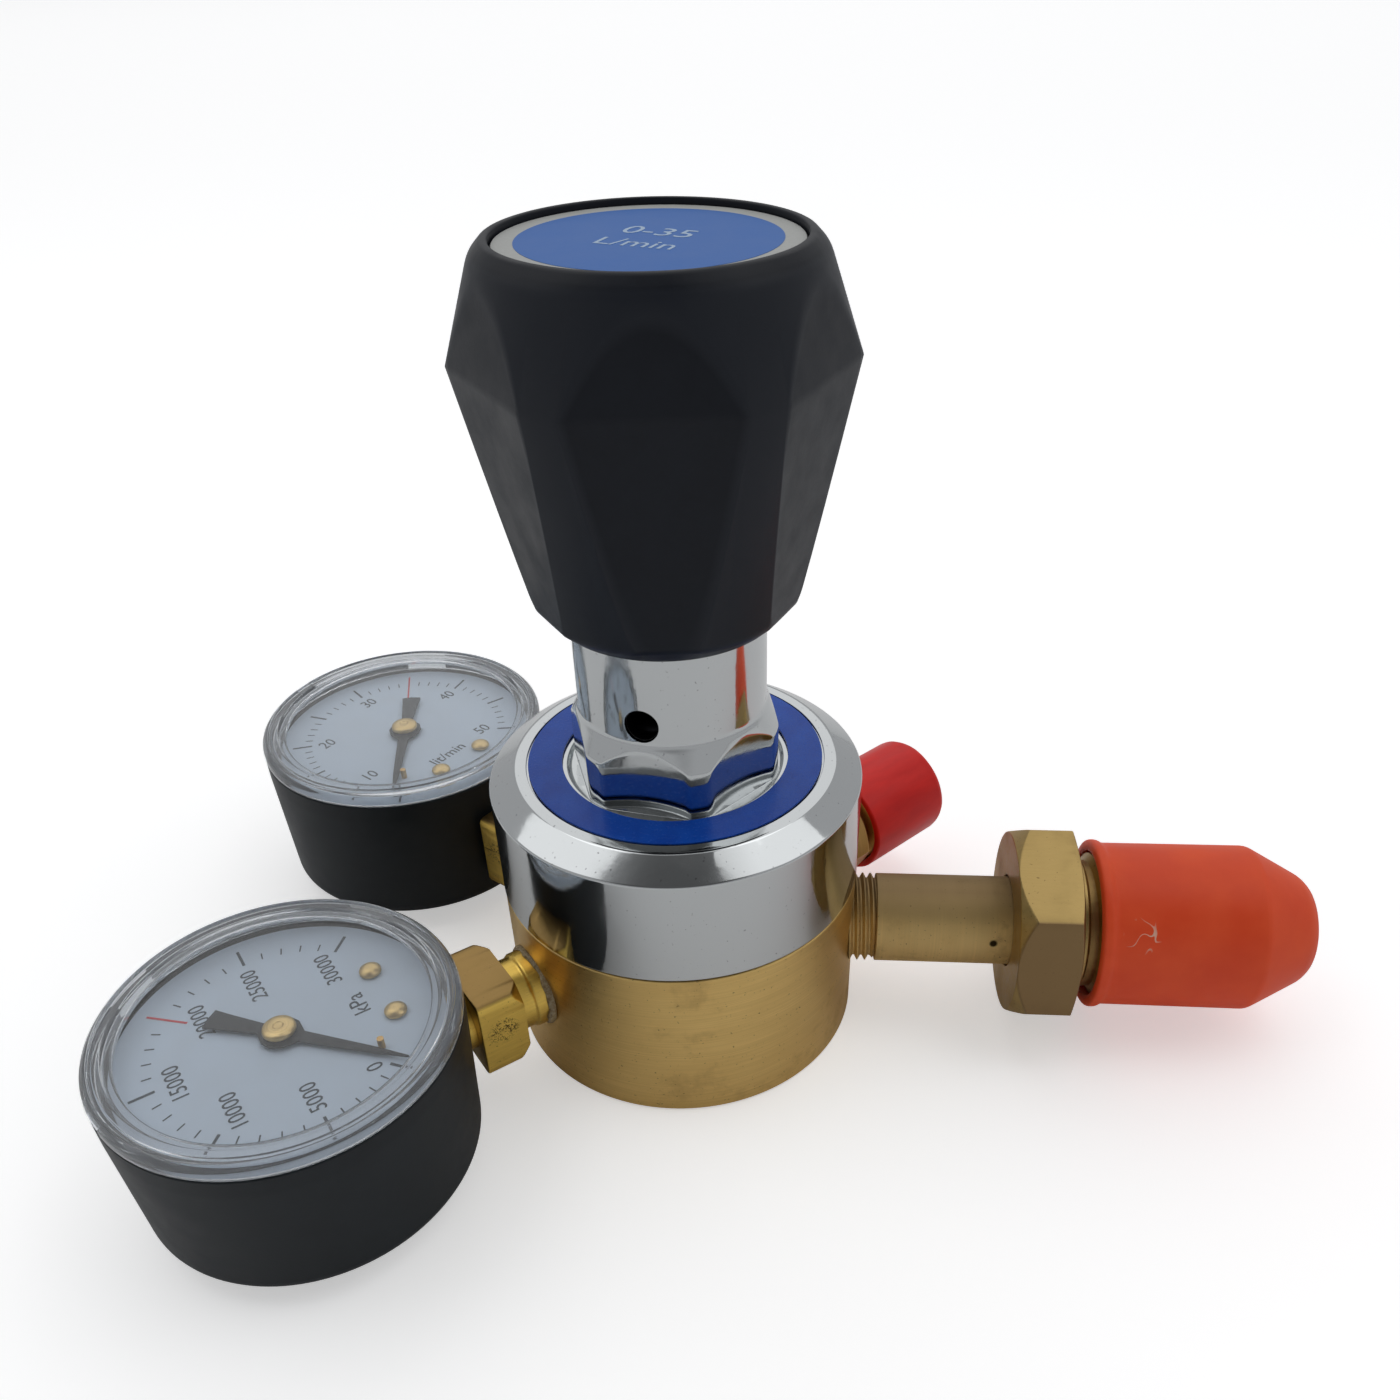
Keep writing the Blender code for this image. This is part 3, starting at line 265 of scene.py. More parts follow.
class Finish:
    """A material that is built up on its one shader, with patterns measured in millimetres on the piece."""

    def __init__(self, name, colour, metallic=0.0, roughness=0.5, part=False, **more):
        self.material = bpy.data.materials.new(name)
        self.material.use_nodes = True
        self.nodes, self.links = self.material.node_tree.nodes, self.material.node_tree.links
        self.shader = self.nodes["Principled BSDF"]
        self.part = part
        self.done(Base_Color=(*colour, 1), Metallic=metallic, Roughness=roughness, **more)

    def feed(self, node, socket, value):
        if isinstance(value, bpy.types.NodeSocket):
            self.links.new(value, node.inputs[socket])
        else:
            node.inputs[socket].default_value = value

    def add(self, kind, inputs, out=0, **settings):
        node = self.nodes.new("ShaderNode" + kind)
        for key, value in settings.items():
            setattr(node, key, value)
        for socket, value in inputs.items():
            self.feed(node, socket, value)
        return node.outputs[out]

    def place(self, x=1.0, y=1.0, z=1.0):
        """Where on the piece, in millimetres, stretched along its axes; part is for the CAD's own shapes."""
        if self.part:
            spot = self.add("TexCoord", {}, out="Object")
            return self.add("VectorMath", {0: spot, 1: (x / MM, y / MM, z / MM)}, operation="MULTIPLY")
        spot = self.add("Attribute", {}, out="Vector", attribute_name="own_place")
        return self.add("VectorMath", {0: spot, 1: (x, y, z)}, operation="MULTIPLY")

    def height(self):
        return self.add("SeparateXYZ", {0: self.place()}, out="Z")

    def from_axis(self):
        return self.add("VectorMath", {0: self.place(1, 1, 0)}, out="Value", operation="LENGTH")

    def tool_path(self, lines):
        """Like place, but nearly the same all the way round the turning axis, as tool marks are."""
        spot = self.place()
        parts = self.nodes.new("ShaderNodeSeparateXYZ")
        self.links.new(spot, parts.inputs[0])
        flat = self.add("VectorMath", {0: spot, 1: (1, 1, 0)}, operation="MULTIPLY")
        radius = self.add("VectorMath", {0: flat}, out="Value", operation="LENGTH")
        depth = self.add("Math", {0: radius, 1: 0.83, 2: parts.outputs["Z"]}, operation="MULTIPLY_ADD")
        deep = self.add("Math", {0: depth, 1: lines}, operation="MULTIPLY")
        slow = self.add("VectorMath", {0: flat, 1: (0.04, 0.04, 0)}, operation="MULTIPLY")
        rise = self.add("CombineXYZ", {2: deep})
        return self.add("VectorMath", {0: slow, 1: rise}, operation="ADD")

    def near(self, centre, reach):
        """One at a point of the piece, given in its own millimetres, and nothing from a reach away on."""
        away = self.add("VectorMath", {0: self.place(), 1: centre}, out="Value", operation="DISTANCE")
        return self.span(away, reach * 0.6, reach, 1.0, 0.0)

    def side(self, towards, start, full):
        """Nothing on the axis, growing to one between two distances out this way, as on one flat of a bar."""
        reach = self.add("VectorMath", {0: self.place(), 1: towards}, out="Value", operation="DOT_PRODUCT")
        return self.span(reach, start, full)

    def grain(self, size, detail=2.0, rough=0.5, twist=0.0, spot=None):
        spot = self.place() if spot is None else spot
        return self.add("TexNoise", {
            "Vector": spot, "Scale": 1.0 / size, "Detail": detail, "Roughness": rough, "Distortion": twist,
        })

    def span(self, value, low, high, start=0.0, end=1.0):
        return self.add("MapRange", {0: value, 1: low, 2: high, 3: start, 4: end})

    def times(self, a, b):
        return self.add("Math", {0: a, 1: b}, operation="MULTIPLY")

    def plus(self, a, b):
        return self.add("Math", {0: a, 1: b}, operation="ADD")

    def blend(self, share, first, second):
        """One colour going over into another; each is plain or comes from another node."""
        first, second = (c if isinstance(c, bpy.types.NodeSocket) else (*c, 1) for c in (first, second))
        return self.add("Mix", {0: share, 6: first, 7: second}, out=2, data_type="RGBA")

    def clouded(self, pattern, first, second):
        """Two colours in soft clouds that follow a pattern."""
        return self.blend(self.span(pattern, 0.35, 0.7), first, second)

    def relief(self, height, depth, under=None):
        inputs = {"Height": height, "Distance": depth * MM, "Strength": 1.0}
        if under is not None:
            inputs["Normal"] = under
        return self.add("Bump", inputs)

    def done(self, **sockets):
        for socket, value in sockets.items():
            self.feed(self.shader, socket.replace("_", " "), value)
        return self.material


def brass(
    name, bright=(0.62, 0.38, 0.14), deep=(0.47, 0.28, 0.095), stain_and_shade=(0.20, 0.115, 0.045), turning=True,
    lines=5.0, rough=(0.26, 0.42), stains=0.6, part=False, scratched=None, shaded_side=None, dent=None,
    marks_deep=0.003,
):
    """Bare brass: tool marks round it or along it, brown stains in patches, small dark pits, and painted
    shade on one side where asked.
    """
    metal = Finish(name, bright, 1.0, 0.3, part)
    path = metal.tool_path(lines) if turning else metal.place(lines, lines, 0.12)
    marks = metal.grain(1.0, 4.0, 0.65, spot=path)
    patches = metal.grain(9.0, 5.0, 0.62)
    cloud = metal.grain(5.0, 3.0, 0.5, spot=metal.place(0.6, 0.6, 1.6))
    pits = metal.grain(0.42, 1.0, 0.4)
    colour = metal.blend(metal.span(marks, 0.3, 0.7), deep, bright)
    colour = metal.blend(metal.span(cloud, 0.35, 0.7, 0.0, 0.45), colour, deep)
    colour = metal.blend(metal.span(patches, 0.56, 0.80, 0.0, stains), colour, stain_and_shade)
    colour = metal.blend(metal.span(pits, 0.71, 0.78, 0.0, 0.55), colour, (0.07, 0.045, 0.02))
    # Painted shade: one side of the piece is darkened towards the stain colour, as shade would fall on it.
    if shaded_side:
        towards, start, full, share = shaded_side
        colour = metal.blend(metal.times(metal.side(towards, start, full), share), colour, stain_and_shade)
    if dent:
        colour = metal.blend(metal.near(*dent), colour, (0.04, 0.025, 0.01))
    if scratched:
        scrawl = metal.grain(0.9, 2.0, 0.6, 3.0, spot=metal.place(1.0, 2.2, 1.0))
        scrawl = metal.times(metal.near(*scratched), metal.span(scrawl, 0.54, 0.58, 0.0, 0.9))
        colour = metal.blend(scrawl, colour, (0.05, 0.035, 0.02))
    shine = metal.plus(metal.span(marks, 0.3, 0.7, *rough), metal.span(patches, 0.5, 0.8, 0.0, 0.16))
    bumps = metal.relief(marks, marks_deep, metal.relief(metal.grain(1.6, 3.0), 0.008))
    return metal.done(Base_Color=colour, Roughness=shine, Normal=bumps)


body_brass = brass(
    "body_brass", bright=(0.86, 0.61, 0.235), deep=(0.68, 0.46, 0.165), stain_and_shade=(0.34, 0.21, 0.08),
    rough=(0.30, 0.44), marks_deep=0.0015,
)
body_section = [
    (0, 0.4), (9.0, 0.4), (10.2, 0.0), (BODY_R - 0.5, 0), (BODY_R, 0.5), (BODY_R, BODY_TOP, 0.25),
    (SPIGOT_R, BODY_TOP), (SPIGOT_R, SPIGOT_TOP), (CHAMBER_R, SPIGOT_TOP), (CHAMBER_R, CHAMBER_FLOOR),
    (VALVE_BORE_R, CHAMBER_FLOOR), (VALVE_BORE_R, VALVE_BORE_BOTTOM), (0, VALVE_BORE_BOTTOM),
]


def port(radius, seat, drill=0.0):
    """A port chamfered at the body's wall; a drill hole may go on from it towards the axis."""
    start = [(0, 3.0), (drill, 3.0), (drill, seat)] if drill else [(0, seat)]
    wide, outside = radius + 1.0, BODY_R + 4
    mouth = [(radius, seat), (radius, BODY_R - 0.7), (wide, BODY_R + 0.3), (wide, outside), (0, outside)]
    return turned(start + mouth, 48, edge=0)


def riser(radius, azimuth, from_axis):
    """A drill hole from a port up to the low pressure chamber."""
    angle = math.radians(azimuth)
    hole = turned(rod_section(radius, PORT_Z, CHAMBER_FLOOR + 1), 24, edge=0)
    return hole, Matrix.Translation((from_axis * MM * math.cos(angle), from_axis * MM * math.sin(angle), 0))


made(
    "brass_body", [turned(body_section, 180)], body_brass, "regulator", ["body"],
    holes=[
        (port(INLET_PORT_R, OUTLET_SEAT, 2.5), outward(0.0, INLET_Z)),
        (port(SIDE_PORT_R, OUTLET_SEAT), outward(OUTLET_AZ, PORT_Z)),
        (port(SIDE_PORT_R, GAUGE_SEAT, 2.0), outward(SUPPLY_AZ, PORT_Z)),
        (port(SIDE_PORT_R, GAUGE_SEAT), outward(FLOW_AZ, PORT_Z)),
        riser(1.8, OUTLET_AZ, 20.4),
        riser(1.6, FLOW_AZ, GAUGE_SEAT + 2.0),
    ],
)


# Bonnet: brass turned with a hexagon and a neck, buffed and chrome plated all over.
# It screws over the spigot and clamps the diaphragm; the small hole in the neck lets air in and out.
SKIRT_BOTTOM, SKIRT_TOP = BODY_TOP + 0.25, 45.7
BONNET_R, BONNET_ROOM_R = 28.1, 21.6
DECK_R, DECK_TOP = 24.0, 48.4
LABEL_SEAT_R = 22.3
HEX_APOTHEM, HEX_CORNER_R, HEX_FACING = 14.2, 15.6, math.radians(-101.2)
HEX_TOP = 57.8
NECK_R, NECK_BORE_R, NECK_TOP = 13.7, 11.6, 94.2
NECK_WEB, SCREW_HOLE_R = 7.0, 5.05
BLEED_R, BLEED_Z, BLEED_AZ = 2.3, 61.7, -102.0
CHROME = (0.60, 0.62, 0.625)


def across_flats(angle, apothem, facing=0.0, flats=6):
    """How far out a many-sided bar reaches at an angle; facing is the middle of one flat."""
    half = math.pi / flats
    return apothem / math.cos((angle - facing + half) % (2 * half) - half)


def bonnet_section(angle):
    wide = min(across_flats(angle, HEX_APOTHEM, HEX_FACING), HEX_CORNER_R)
    # The chamfer over the hexagon is a cone, so it meets each flat in a curve
    crown = HEX_TOP - 2.6 * min(1.0, (wide - HEX_APOTHEM) / (HEX_CORNER_R - HEX_APOTHEM)) - 0.35
    seat, groove, web, room_top = DECK_TOP - 0.4, DECK_TOP - 1.1, NECK_TOP - NECK_WEB, SPIGOT_TOP + 2.7
    return [
        (BONNET_R, SKIRT_BOTTOM, 0.3), (BONNET_R, SKIRT_TOP, 0.3), (DECK_R, DECK_TOP, 0.35),
        (LABEL_SEAT_R, DECK_TOP, 0.1), (LABEL_SEAT_R, seat, 0.05), (HEX_CORNER_R + 0.6, seat, 0.2),
        (HEX_CORNER_R + 0.2, groove, 0.3), (wide, groove, 0.1), (wide, crown, 0.3),
        (NECK_R + 0.45, HEX_TOP + 0.1, 0.3), (NECK_R, HEX_TOP + 1.0, 0.5), (NECK_R, NECK_TOP - 1.0),
        (NECK_R - 1.0, NECK_TOP), (SCREW_HOLE_R, NECK_TOP), (SCREW_HOLE_R, web), (NECK_BORE_R, web),
        (NECK_BORE_R, DECK_TOP - 2.2), (BONNET_ROOM_R, DECK_TOP - 7.2), (BONNET_ROOM_R, room_top),
        (SPIGOT_R + 0.3, room_top), (SPIGOT_R + 0.3, SKIRT_BOTTOM),
    ]


plating = Finish("chrome_plating", CHROME, 1.0, 0.06)
# Painted shade: the walls inside the neck and the bleed hole are painted nearly black and dull.
bore_painted_shade = plating.times(
    plating.span(plating.from_axis(), NECK_R - 0.5, NECK_R - 0.3, 1.0, 0.0),
    plating.span(plating.height(), HEX_TOP, HEX_TOP + 0.3),
)
smears = plating.grain(7.0, 5.0, 0.6, 0.6)
specks = plating.grain(0.5, 1.0, 0.4)
plating_tint = plating.blend(plating.span(specks, 0.73, 0.78, 0.0, 0.6), CHROME, (0.18, 0.18, 0.19))
plating_tint = plating.blend(bore_painted_shade, plating_tint, (0.006, 0.006, 0.007))
plating_waves = plating.relief(plating.grain(4.5, 2.0), 0.022)
plating_waves = plating.relief(plating.grain(1.4, 3.0), 0.004, plating_waves)
plating_gloss = plating.plus(plating.span(smears, 0.4, 0.75, 0.06, 0.15), plating.times(bore_painted_shade, 0.6))
chrome = plating.done(Base_Color=plating_tint, Roughness=plating_gloss, Normal=plating_waves)

bleed_section = [
    (0, NECK_BORE_R - 3), (BLEED_R, NECK_BORE_R - 3), (BLEED_R, NECK_R - 0.6), (BLEED_R + 0.5, NECK_R + 0.6),
    (0, NECK_R + 0.6),
]
# The columns of the mesh start at the middle of a flat, so that they fall on its corners
made(
    "bonnet_plated", [turned(lambda a: bonnet_section(a + HEX_FACING), 180)], chrome, "regulator", ["bonnet"],
    at=Matrix.Rotation(HEX_FACING, 4, "Z"),
    holes=[(turned(bleed_section, 48, edge=0), outward(BLEED_AZ, BLEED_Z))],
)


# Ring label: a printed blue film laid in the bonnet's shallow seat, with a clear gloss over it.
# Its place for words is left plain.
LABEL_IN_R, LABEL_OUT_R = 16.9, 22.0
label_low, label_high = DECK_TOP - 0.2, DECK_TOP + 0.1
label_section = [
    (LABEL_IN_R, label_low), (LABEL_IN_R, label_high), (LABEL_OUT_R, label_high), (LABEL_OUT_R, label_low),
]
ring_film = Finish("ring_film", (0.004, 0.062, 0.40), 0.0, 0.24, Specular_IOR_Level=0.28)
ring_fade = ring_film.grain(4.0, 4.0)
ring_scuffs = ring_film.grain(0.6, 5.0, 0.7)
ring_colour = ring_film.clouded(ring_fade, (0.002, 0.062, 0.42), (0.004, 0.084, 0.50))
ring_scuffed = ring_film.span(ring_scuffs, 0.72, 0.84, 0.0, 0.10)
ring_blue = ring_film.done(
    Base_Color=ring_film.blend(ring_scuffed, ring_colour, (0.10, 0.20, 0.50)),
    Roughness=ring_film.span(ring_scuffs, 0.4, 0.7, 0.18, 0.34),
)
made(
    "ring_label", [turned(label_section, 144, edge=0.08)], ring_blue, "regulator", ["bonnet_label"],
)


# Knob: moulded black nylon with six pairs of worn flats, hollow underneath to clear the neck.
# It turns the adjusting screw; a recess in its top holds the printed disc.
KNOB_BOTTOM, KNOB_EQUATOR, KNOB_TOP = 73.0, 106.7, 120.6
KNOB_FACING = math.radians(-84.2)
KNOB_FLATS = ((KNOB_BOTTOM + 3.0, 17.9), (KNOB_EQUATOR, 22.9), (KNOB_TOP - 1.6, 21.25))
KNOB_CONE = ((KNOB_BOTTOM + 3.0, 18.45), (KNOB_EQUATOR, 25.2), (KNOB_TOP - 1.6, 20.9))
KNOB_RECESS_R = 18.4
KNOB_BORE_R, KNOB_BORE_TOP, SCREW_END = 14.2, 104.2, 110.5
KNOB_HEAD_R, KNOB_SCREW_R = 6.0, 2.8


def between(height, low, high):
    """Radius at a height on the straight line between two (height, radius) pairs."""
    return low[1] + (high[1] - low[1]) * (height - low[0]) / (high[0] - low[0])


def knob_section(angle):
    """The flats' planes and the double cone, whichever is nearer the axis, with the hollows inside."""
    spread = across_flats(angle, 1.0)
    sides = []
    for half in (0, 1):
        low, high = KNOB_FLATS[half], KNOB_FLATS[half + 1]
        flat = ((low[0], low[1] * spread), (high[0], high[1] * spread))
        cone = (KNOB_CONE[half], KNOB_CONE[half + 1])
        ends = (cone[0][0], cone[1][0])
        gaps = [between(z, *flat) - between(z, *cone) for z in ends]
        share = 0.5 if gaps[0] == gaps[1] else min(max(gaps[0] / (gaps[0] - gaps[1]), 0.0), 1.0)
        for z in (ends[0], ends[0] + (ends[1] - ends[0]) * share, ends[1]):
            sides.append((min(between(z, *flat), between(z, *cone)), z))
    recess, seat = KNOB_TOP - 1.3, KNOB_TOP - 6.8
    return [
        (KNOB_BORE_R, KNOB_BOTTOM), (15.5, KNOB_BOTTOM, 0.3), (16.3, KNOB_BOTTOM + 0.8, 0.5),
        (sides[0][0] - 0.35, KNOB_BOTTOM + 2.3, 1.4), (*sides[1], 1.2), (sides[2][0], KNOB_EQUATOR, 0.55),
        (*sides[4], 1.2), (sides[5][0], KNOB_TOP - 1.6, 1.2), (KNOB_RECESS_R + 0.9, KNOB_TOP, 1.1),
        (KNOB_RECESS_R, KNOB_TOP, 0.35), (KNOB_RECESS_R, recess, 0.2), (KNOB_HEAD_R, recess),
        (KNOB_HEAD_R, seat), (KNOB_SCREW_R, seat), (KNOB_SCREW_R, SCREW_END), (SCREW_HOLE_R, SCREW_END),
        (SCREW_HOLE_R, KNOB_BORE_TOP), (KNOB_BORE_R, KNOB_BORE_TOP),
    ]


nylon = Finish("knob_nylon", (0.006, 0.008, 0.013), 0.0, 0.42, Specular_IOR_Level=0.22)
nylon_mottle = nylon.grain(6.0, 5.0, 0.6)
nylon_scuff = nylon.grain(0.9, 6.0, 0.75, spot=nylon.place(1.0, 1.0, 0.35))
# The turned corners between the flats are painted a little paler: a painted highlight.
nylon_height, nylon_radius = nylon.height(), nylon.from_axis()
nylon_cone = nylon.add("Math", {
    0: nylon.span(nylon_height, KNOB_CONE[0][0], KNOB_EQUATOR, KNOB_CONE[0][1], KNOB_CONE[1][1]),
    1: nylon.span(nylon_height, KNOB_EQUATOR, KNOB_CONE[2][0], KNOB_CONE[1][1], KNOB_CONE[2][1]),
}, operation="MINIMUM")
nylon_inside = nylon.add("Math", {0: nylon_cone, 1: nylon_radius}, operation="SUBTRACT")
nylon_colour = nylon.clouded(nylon_mottle, (0.0050, 0.0068, 0.0120), (0.0080, 0.0105, 0.0165))
for share, paler in (
    (nylon.span(nylon_inside, 0.10, 0.45, 0.75, 0.0), (0.017, 0.02, 0.0275)),
    (nylon.span(nylon_scuff, 0.66, 0.80, 0.0, 0.35), (0.026, 0.029, 0.036)),
):
    nylon_colour = nylon.blend(share, nylon_colour, paler)
nylon_skin = nylon.relief(nylon.grain(14.0, 2.0), 0.10)
nylon_skin = nylon.relief(nylon.grain(0.35, 2.0), 0.006, nylon_skin)
nylon_gloss = nylon.span(nylon_mottle, 0.3, 0.75, 0.36, 0.50)
knob_black = nylon.done(Base_Color=nylon_colour, Roughness=nylon_gloss, Normal=nylon_skin)
made(
    "knob_moulding", [turned(knob_section, 144, cuts=4)], knob_black, "knob", ["knob"],
    at=Matrix.Rotation(KNOB_FACING, 4, "Z"), crease=60,
)


# Knob disc: a printed film stuck in the knob's recess, a grey rim round a blue field.
# The range and the unit are printed in white.
DISC_R, DISC_FIELD_R = 18.1, 15.6
DISC_TOP = KNOB_TOP - 0.8
DISC_TURN = math.radians(-20.0)
DISC_WORDS = (("0-35", 3.6, 2.6), ("L/min", 3.2, -3.4))
PRINT_THICK = 0.03
LETTER_SHARE = 0.70  # height of the figures in a font of size one


def lettering(text, height, x, y, z, turn=0.0, narrow=0.82):
    """Thin raised print centred at a point, as shapes in millimetres; height is that of the figures."""
    line = bpy.data.curves.new("print", "FONT")
    line.body, line.align_x, line.align_y = text, "CENTER", "CENTER"
    line.size, line.extrude, line.resolution_u = 1.0, 0.02, 3
    drawn = bpy.data.objects.new("print", line)
    bpy.context.scene.collection.objects.link(drawn)
    mesh = bpy.data.meshes.new_from_object(drawn.evaluated_get(bpy.context.evaluated_depsgraph_get()))
    big = height / LETTER_SHARE
    size = Matrix.Diagonal((big * narrow, big, PRINT_THICK / 0.04, 1))
    place = Matrix.Translation((x, y, z)) @ Matrix.Rotation(turn, 4, "Z") @ size
    points = [tuple(place @ v.co) for v in mesh.vertices]
    faces = [tuple(face.vertices) for face in mesh.polygons]
    bpy.data.objects.remove(drawn)
    return points, faces


def film(name, colour, rough=0.3, faded=0.22, dusty=0.25, gloss=0.3):
    """Printed plastic film: nearly even colour with a little fading and fine scuffs in its gloss."""
    sheet = Finish(name, colour, 0.0, rough, Specular_IOR_Level=gloss)
    fade = sheet.grain(5.0, 4.0)
    dust = sheet.grain(0.5, 3.0, 0.7)
    pale, chalky = (tuple(share * c + white for c in colour) for share, white in ((0.5, 0.2), (0.6, 0.25)))
    tint = sheet.blend(sheet.span(fade, 0.35, 0.7, 0.0, faded), colour, pale)
    tint = sheet.blend(sheet.span(dust, 0.68, 0.78, 0.0, dusty), tint, chalky)
    dull = sheet.span(dust, 0.35, 0.7, rough - 0.24 * dusty, rough + 0.48 * dusty)
    return sheet.done(Base_Color=tint, Roughness=dull)


def ink(name, colour):
    """Printing ink: matt, worn a little thin in fine specks."""
    print_ink = Finish(name, colour, 0.0, 0.5, Specular_IOR_Level=0.25)
    wear = print_ink.grain(0.25, 3.0, 0.7)
    thin = tuple(0.8 * c + 0.04 for c in colour)
    return print_ink.done(Base_Color=print_ink.blend(print_ink.span(wear, 0.45, 0.75), colour, thin))


made(
    "disc_rim", [turned(rod_section(DISC_R, DISC_TOP - 0.28, DISC_TOP), 144, edge=0.1)],
    film("disc_grey", (0.47, 0.48, 0.46), 0.35), "knob", ["knob_label"],
)
made(
    "disc_field", [turned(rod_section(DISC_FIELD_R, DISC_TOP + 0.005, DISC_TOP + 0.04), 144, edge=0.01)],
    film("disc_blue", (0.010, 0.135, 0.50), 0.36, faded=0.06, dusty=0.02, gloss=0.2), "knob",
)
made(
    "disc_print", [lettering(text, tall, 0, y, DISC_TOP + 0.06, narrow=1.0) for text, tall, y in DISC_WORDS],
    ink("disc_white", (0.46, 0.60, 0.78)), "knob",
    at=Matrix.Rotation(DISC_TURN, 4, "Z"),
)


# Inlet stem: brass bar with a pipe thread into the body, a shoulder for the nut and a rounded nose.
# The last turns of the thread stay outside the body's wall.
INLET_R, STEM_ROOT_R, STEM_BORE_R = 7.15, 6.35, 2.2
NUT_LEFT, NUT_SEAT, NUT_RIGHT, NUT_END = 52.8, 55.3, 62.6, 81.0
SHANK_START = 19.8
STEM_THREAD = (20.2, 31.5)
COLLAR_R, NOSE_R, STEM_END = 8.9, 7.0, 90.0
FILTER_ROOM_R, FILTER_ROOM = 3.4, 6.0
inlet_way = outward(0.0, INLET_Z)


def threaded(low, high, root, crest, pitch, sides, fade=0.9):
    """An outside thread between two heights, as rows that climb one pitch a turn and fade at its ends."""
    profile = ((0.00, root), (0.10, root), (0.44, crest), (0.56, crest), (0.90, root))
    rows = len(profile) * (math.ceil((high - low) / pitch) + 1) + 1
    points, faces = [], []
    for k in range(sides):
        angle = 2 * math.pi * k / sides
        for j in range(rows):
            share, r = profile[j % len(profile)]
            z = low - pitch + pitch * (k / sides + j // len(profile) + share)
            z = min(max(z, low), high)
            r = root + (r - root) * min(1.0, (z - low) / fade, (high - z) / fade)
            points.append((r * math.cos(angle), r * math.sin(angle), z))
    for k in range(sides):
        for j in range(rows - 1):
            here, below = k * rows + j, k * rows + j + 1
            if k < sides - 1:
                faces.append((here, here + rows, below + rows, below))
            else:
                # The last column meets the first one a turn further on
                on = min(j + len(profile), rows - 1)
                faces.append((here, on, on + 1, below) if on < rows - 1 else (here, on, below))
    return points, faces


# The upper side of the stem, leaning to the back, is painted darker: painted shade.
stem_brass = brass(
    "stem_brass", bright=(0.76, 0.56, 0.25), deep=(0.64, 0.46, 0.20), stain_and_shade=(0.23, 0.155, 0.085), lines=3.2,
    rough=(0.58, 0.68), shaded_side=((0.94, -0.34, 0.0), 1.5, 6.0, 0.8), stains=0.75,
    dent=((1.2, 7.05, 50.0), 0.75), marks_deep=0.0015,
)
stem_section = [
    (STEM_ROOT_R, STEM_THREAD[1]), (INLET_R, STEM_THREAD[1] + 0.1, 0.1), (INLET_R, NUT_SEAT + 0.3),
    (COLLAR_R, NUT_SEAT + 0.3), (COLLAR_R, NUT_SEAT + 4.6), (NOSE_R, NUT_SEAT + 6.0),
    (NOSE_R, STEM_END - 5.0), (5.6, STEM_END - 1.2, 1.2), (4.4, STEM_END, 0.6), (FILTER_ROOM_R, STEM_END),
    (FILTER_ROOM_R, STEM_END - FILTER_ROOM), (STEM_BORE_R, STEM_END - FILTER_ROOM),
    (STEM_BORE_R, SHANK_START), (STEM_ROOT_R, SHANK_START), (STEM_ROOT_R, STEM_THREAD[0]),
]
made(
    "inlet_stem_turned", [
        threaded(*STEM_THREAD, STEM_ROOT_R, INLET_R, 1.25, 96, fade=0.5),
        turned(stem_section, 96, closed=False),
    ], stem_brass, "regulator", ["inlet_stem"], at=inlet_way, crease=30,
)


# Inlet nut: hexagon brass with chamfered corners and the male thread for the bottle valve, free on the stem.
# The first groove and turn of its thread show beside the cap.
NUT_AF, NUT_THREAD_R, NUT_ROOT_R, NUT_BORE_R = 29.0, 11.45, 10.15, 9.2
NUT_CORNER_R = NUT_AF / 2 / math.cos(math.pi / 6)
NUT_FACING = math.radians(49.6 - 90.0)
NUT_THREAD = (64.9, 80.2)
NUT_FACE_R, NUT_RIM_R, NUT_NECK_R, NUT_HOLE_R = 14.4, 14.1, 10.9, 7.45


def nut_section(angle):
    wide = min(across_flats(angle, NUT_AF / 2), NUT_CORNER_R - 0.12)
    left = NUT_LEFT + 2.3 * max(0.0, wide - NUT_FACE_R) / (NUT_CORNER_R - NUT_FACE_R)
    right = NUT_RIGHT - 0.9 * max(0.0, wide - NUT_RIM_R) / (NUT_CORNER_R - NUT_RIM_R)
    return [
        (NUT_ROOT_R, NUT_THREAD[1]), (NUT_ROOT_R, NUT_END, 0.3), (NUT_BORE_R, NUT_END),
        (NUT_BORE_R, NUT_SEAT), (NUT_HOLE_R, NUT_SEAT), (NUT_HOLE_R, NUT_LEFT, 0.3),
        (min(wide, NUT_FACE_R), NUT_LEFT, 0.15), (wide, left, 0.2), (wide, right, 0.15),
        (min(wide, NUT_RIM_R), NUT_RIGHT, 0.15), (NUT_NECK_R, NUT_RIGHT, 0.3),
        (NUT_NECK_R, NUT_RIGHT + 1.3, 0.2), (NUT_ROOT_R, NUT_RIGHT + 1.6), (NUT_ROOT_R, NUT_THREAD[0]),
    ]


# The lower of the flats facing the front is painted darker: painted shade.
NUT_LOWER_FLAT = (math.cos(math.radians(120)), math.sin(math.radians(120)), 0.0)
nut_brass = brass(
    "nut_brass", bright=(0.48, 0.335, 0.13), deep=(0.38, 0.265, 0.10), stain_and_shade=(0.22, 0.14, 0.07),
    turning=False, lines=1.1, rough=(0.32, 0.46), stains=0.5, marks_deep=0.0006,
    shaded_side=(NUT_LOWER_FLAT, NUT_AF / 2 - 0.45, NUT_AF / 2 - 0.1, 0.85),
)
made(
    "inlet_nut_hexagon",
    [threaded(*NUT_THREAD, NUT_ROOT_R, NUT_THREAD_R, 1.81, 96), turned(nut_section, 96, closed=False)],
    nut_brass, "nut", ["inlet_nut"], at=inlet_way @ Matrix.Rotation(NUT_FACING, 4, "Z"), crease=30,
)


